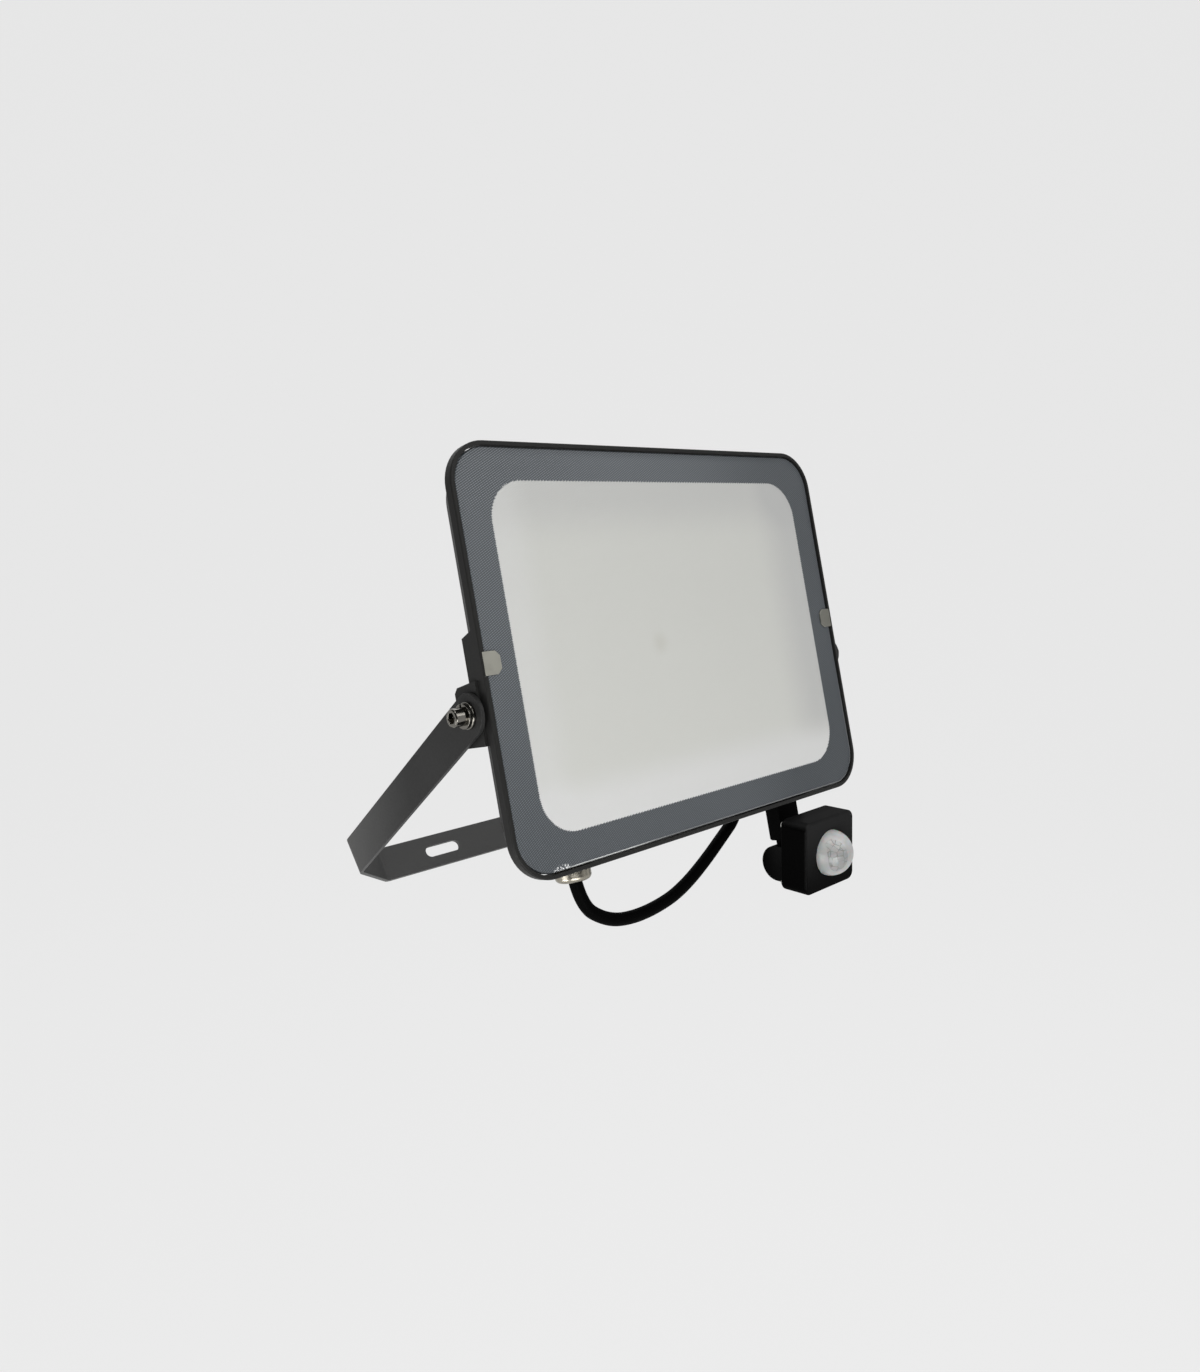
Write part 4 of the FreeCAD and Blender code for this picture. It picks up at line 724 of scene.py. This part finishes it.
def lathe(name, profile, steps=40):
    # profile runs from the axis at the bottom to the axis at the top, as (radius, height) in mm
    work = bmesh.new()
    rings = []
    for radius, height in profile:
        if radius == 0:
            rings.append([work.verts.new((0, 0, height * mm))])
            continue
        ring = []
        for i in range(steps):
            angle = 2 * math.pi * i / steps
            ring.append(work.verts.new((radius * mm * math.cos(angle), radius * mm * math.sin(angle),
                                        height * mm)))
        rings.append(ring)
    for low, high in zip(rings, rings[1:]):
        for i in range(steps):
            j = (i + 1) % steps
            if len(low) == 1:
                work.faces.new((low[0], high[j], high[i]))
            elif len(high) == 1:
                work.faces.new((low[i], low[j], high[0]))
            else:
                work.faces.new((low[i], low[j], high[j], high[i]))
    mesh = bpy.data.meshes.new(name)
    work.to_mesh(mesh)
    work.free()
    return mesh


patterns = []


def keepAside(mesh):
    # a pattern piece that Geometry Nodes reads; it leaves before the end
    pattern = bpy.data.objects.new(mesh.name + "Pattern", mesh)
    bpy.context.collection.objects.link(pattern)
    patterns.append(pattern)
    return pattern


screwLook = {
    # shank and head across, shank length, head height, in mm
    "board": (3.0, 5.7, 4.0, 2.1), "cover": (2.5, 4.75, 13.0, 1.75),
    "arm": (3.0, 5.7, 6.5, 2.1), "shell": (2.5, 4.75, 14.0, 1.75),
}
recessLook = {"reach": 1.15, "width": 0.24, "lift": 0.95}  # in half heads, half heads and rises


def panScrew(kind):
    shank, head, length, rise = screwLook[kind]
    half = head / 2
    bows = [math.radians(degrees) for degrees in (0, 18, 36, 54, 72)]
    crown = [(half * math.cos(bow), rise * (0.35 + 0.65 * math.sin(bow))) for bow in bows]
    tip = [(0, -length), (shank * 0.3, -length), (shank / 2, 0.8 - length)]
    mesh = lathe(kind + "Screw", [*tip, (shank / 2, 0), (half, 0), *crown, (0, rise)], 32)
    screw = bpy.data.objects.new("screw", mesh)
    bpy.context.collection.objects.link(screw)
    recess = []
    reach, width = half * recessLook["reach"], half * recessLook["width"]
    scale = Matrix.Diagonal((reach * mm, width * mm, rise * mm, 1))
    lift = Matrix.Translation((0, 0, rise * recessLook["lift"] * mm))
    for degrees in (0, 90):
        blade = bpy.data.meshes.new("blade")
        work = bmesh.new()
        bmesh.ops.create_cube(work, size=1)
        work.transform(lift @ Matrix.Rotation(math.radians(degrees), 4, "Z") @ scale)
        work.to_mesh(blade)
        work.free()
        cutter = bpy.data.objects.new("cutter", blade)
        bpy.context.collection.objects.link(cutter)
        cut = screw.modifiers.new("recess", "BOOLEAN")
        cut.operation = "DIFFERENCE"
        cut.solver = "EXACT"
        cut.object = cutter
        recess.append(cutter)
    evaluated = screw.evaluated_get(bpy.context.evaluated_depsgraph_get())
    shaped = bpy.data.meshes.new_from_object(evaluated)
    for thing in (screw, *recess):
        bpy.data.objects.remove(thing)
    smoothByAngle(shaped, 35)
    shaped.name = kind + "Screw"
    return keepAside(shaped)


lightEngine = {
    "columns": 12, "rows": 8, "columnPitch": 0.014, "rowPitch": 0.0125, "boardTop": -0.0164,
    "chip": (0.0028, 0.0035, 0.0007), "chipFrame": 0.14, "chipSink": 0.3,
    "boardScrews": ((0, 0), (0.0835, 0.049), (-0.0835, 0.049), (-0.0835, -0.049), (0.0835, -0.049)),
}
junctionBox = {
    "coverScrews": ((0.075833, -0.065833), (0.104867, -0.101667)), "coverBack": -0.046,
    "armScrews": ((0.09035, -0.067), (0.09035, -0.093)), "armBack": -0.026,
}
shellScrews = {"aside": 0.0200, "above": 0.0178, "depth": 0.013}


def chipPattern():
    # white frame with a sunk phosphor field
    width, height, rise = lightEngine["chip"]
    work = bmesh.new()
    bmesh.ops.create_cube(work, size=1)
    work.transform(Matrix.Translation((0, 0, rise / 2)) @ Matrix.Diagonal((width, height, rise, 1)))
    top = max(work.faces, key=lambda face: face.calc_center_median().z)
    bmesh.ops.inset_region(work, faces=[top], thickness=width * lightEngine["chipFrame"])
    bmesh.ops.translate(work, verts=top.verts, vec=(0, 0, -rise * lightEngine["chipSink"]))
    mesh = bpy.data.meshes.new("ledChip")
    work.to_mesh(mesh)
    work.free()
    return keepAside(mesh)


def lampPlaces(spots, height):
    return [lampMatrix @ Vector((x, y, height)) for x, y in spots]


def facing(matrix, over=False):
    flip = Matrix.Rotation(math.pi, 4, "X") if over else Matrix.Identity(4)
    return (matrix @ flip).to_quaternion().to_euler()


def setScrews(name, kind, places, turn, body, node, seed):
    setAtPlaces(name, panScrew(kind), places, turn, body, "zincPlate", [node], math.pi, seed)


def makeRepeated():
    outward, backward, headBack = facing(lampMatrix), facing(lampMatrix, True), facing(headMatrix, True)
    columns, rows = lightEngine["columns"], lightEngine["rows"]
    grid = [((i - (columns - 1) / 2) * lightEngine["columnPitch"],
             (j - (rows - 1) / 2) * lightEngine["rowPitch"])
            for i in range(columns) for j in range(rows)]
    setAtPlaces("ledChips", chipPattern(), lampPlaces(grid, lightEngine["boardTop"]), outward,
                "lamp", "phosphor", ["led_chips"])
    onBoard = lampPlaces(lightEngine["boardScrews"], lightEngine["boardTop"])
    onCover = lampPlaces(junctionBox["coverScrews"], junctionBox["coverBack"])
    onArm = lampPlaces(junctionBox["armScrews"], junctionBox["armBack"])
    middle, aside, above = headDome["middle"], shellScrews["aside"], shellScrews["above"]
    corners = [headMatrix @ Vector((i * aside, middle + j * above, shellScrews["depth"]))
               for i in (-1, 1) for j in (-1, 1)]
    setScrews("boardScrews", "board", onBoard, outward, "lamp", "board_screws", 5)
    setScrews("coverScrews", "cover", onCover, backward, "lamp", "cover_screws", 8)
    setScrews("armScrews", "arm", onArm, backward, "lamp", "arm_screws", 9)
    setScrews("shellScrews", "shell", corners, headBack, "sensor_head", "shell_screws", 11)


makeRepeated()
print("chips and screws set")


# The dome: a double-walled cap with a flange

def makeDome():
    radius, rise, front = headDome["radius"], headDome["height"], headDome["front"]
    ball = (radius ** 2 + rise ** 2) / (2 * rise)
    centre = front + rise - ball
    reach = math.asin(radius / ball) if centre < front else math.pi - math.asin(radius / ball)
    wall, flange = headDome["wall"], headDome["flange"]
    seat = front - headDome["sunk"]
    under = seat - headDome["flangeThick"]
    outer = []
    steps = 25
    for i in range(steps + 1):
        angle = reach * i / steps
        outer.append((ball * math.sin(angle), centre + ball * math.cos(angle)))
    inner = [(max(0, r * (1 - wall / radius)), h - wall) for r, h in outer[:-1]]
    brim = [(radius, seat), (flange, seat), (flange, under), (radius - wall, under)]
    profile = [*outer, *brim, *inner[::-1]]
    mesh = lathe("fresnelDome", [(r / mm, h / mm) for r, h in profile], 72)
    mesh.transform(headMatrix @ Matrix.Translation((0, headDome["middle"], 0)))
    work = bmesh.new()
    work.from_mesh(mesh)
    bmesh.ops.remove_doubles(work, verts=work.verts, dist=1e-7)
    bmesh.ops.recalc_face_normals(work, faces=work.faces)
    work.to_mesh(mesh)
    work.free()
    smoothByAngle(mesh, 40)
    pieceFrom("fresnelDome", mesh, "sensor_head", "fresnelLens", ["fresnel_dome"])


makeDome()
print("dome made")


# Studio

studio = {
    "backdrop": 0.807, "paper": 0.872, "ambient": 0.25, "mirrored": 0.08, "glow": 0.88,
    # the sweep, in metres from the object
    "floorDrop": 0.62, "floorFront": -6.0, "floorBack": 2.0, "bend": 2.0, "top": 9.0, "halfWidth": 14.0,
    "lamps": {
        # name: place, aim, width, height, watts
        "frontTop": ((0.35, -1.5, 1.5), (0, -0.1, 0.1), 1.6, 1.2, 15.6),
        "rightFill": ((0.93, -1.54, 0.56), (0, -0.1, 0.1), 0.9, 1.1, 2.1),
        "topSoft": ((-0.2, 0.1, 1.9), (0, -0.1, 0.1), 1.6, 1.6, 5.5),
        "backTop": ((0.9, 1.3, 1.9), (0, 0, 0.1), 1.2, 0.8, 6.0),
        "lowLeft": ((-0.62, -0.16, -0.20), (-0.13, -0.02, 0.02), 0.3, 0.3, 1.6),
        "lowFront": ((-0.45, -0.95, -0.26), (-0.05, 0.0, 0.0), 0.7, 0.4, 6.5),
        "spark": ((-0.50, -0.37, 1.7), (0, -0.1, 0.1), 0.8, 0.25, 4.5),
    },
}


def sweepFinish():
    # pale to the camera and to what mirrors it, plain paper to the rest
    paint = Paint("paperSweep")
    level = studio["paper"]
    path = paint.tree.nodes.new("ShaderNodeLightPath").outputs
    seen = Wire(paint, path["Is Camera Ray"])
    for kind in ("Is Glossy Ray", "Is Transmission Ray"):
        seen = seen.atLeast(Wire(paint, path[kind]))
    fibre = paint.noise(400, 2)
    tone = paint.mix(fibre, (0.80, 0.80, 0.80), (0.78, 0.78, 0.78))
    plain = paint.node("ShaderNodeBsdfDiffuse", {}, {"Color": tone})
    glow = paint.node("ShaderNodeEmission", {}, {"Color": (level, level, level, 1), "Strength": 1.0})
    shader = paint.node("ShaderNodeMixShader", {}, {0: seen * studio["glow"], 1: plain, 2: glow})
    paint.node("ShaderNodeOutputMaterial", {}, {"Surface": shader})
    return paint.material


def makeSweep():
    floor = cadBox[0].z - studio["floorDrop"]
    back, bend = studio["floorBack"], studio["bend"]
    angles = [math.radians(degrees) for degrees in range(6, 91, 6)]
    curve = [(back + bend * math.sin(angle), bend - bend * math.cos(angle)) for angle in angles]
    profile = [(studio["floorFront"], 0.0), (back, 0.0), *curve, (back + bend, studio["top"])]
    work = bmesh.new()
    sides = []
    turn = Matrix.Rotation(math.radians(cameraView["turn"]), 4, "Z")
    for x in (-studio["halfWidth"], studio["halfWidth"]):
        sides.append([work.verts.new(turn @ Vector((x, y, floor + z))) for y, z in profile])
    for i in range(len(profile) - 1):
        work.faces.new((sides[0][i], sides[1][i], sides[1][i + 1], sides[0][i + 1]))
    mesh = bpy.data.meshes.new("paperSweep")
    work.to_mesh(mesh)
    work.free()
    sweep = bpy.data.objects.new("paperSweep", mesh)
    bpy.context.collection.objects.link(sweep)
    mesh.materials.append(sweepFinish())
    for face in mesh.polygons:
        face.use_smooth = True


def makeLamps():
    for name, (place, aim, width, height, watts) in studio["lamps"].items():
        data = bpy.data.lights.new(name, "AREA")
        data.shape = "RECTANGLE"
        data.size, data.size_y, data.energy = width, height, watts
        lamp = bpy.data.objects.new(name, data)
        bpy.context.collection.objects.link(lamp)
        lamp.location = place
        lamp.rotation_euler = (Vector(aim) - Vector(place)).to_track_quat("-Z", "Y").to_euler()


def makeAir():
    # the camera sees the backdrop's level, mirrors a dark one, all else the ambient one
    world = bpy.data.worlds.new("studioAir")
    bpy.context.scene.world = world
    world.use_nodes = True
    tree = world.node_tree
    tree.nodes.clear()
    path = tree.nodes.new("ShaderNodeLightPath").outputs
    strength = studio["ambient"]
    for kind, level in (("Is Glossy Ray", studio["mirrored"]), ("Is Camera Ray", studio["backdrop"])):
        choice = tree.nodes.new("ShaderNodeMix")
        tree.links.new(path[kind], choice.inputs[0])
        if isinstance(strength, float):
            choice.inputs[2].default_value = strength
        else:
            tree.links.new(strength, choice.inputs[2])
        choice.inputs[3].default_value = level
        strength = choice.outputs[0]
    air = tree.nodes.new("ShaderNodeBackground")
    air.inputs["Color"].default_value = (1, 1, 1, 1)
    tree.links.new(strength, air.inputs["Strength"])
    out = tree.nodes.new("ShaderNodeOutputWorld")
    tree.links.new(air.outputs[0], out.inputs["Surface"])


makeSweep()
makeLamps()
makeAir()
for pattern in patterns:
    bpy.data.objects.remove(pattern)
print("studio lit")
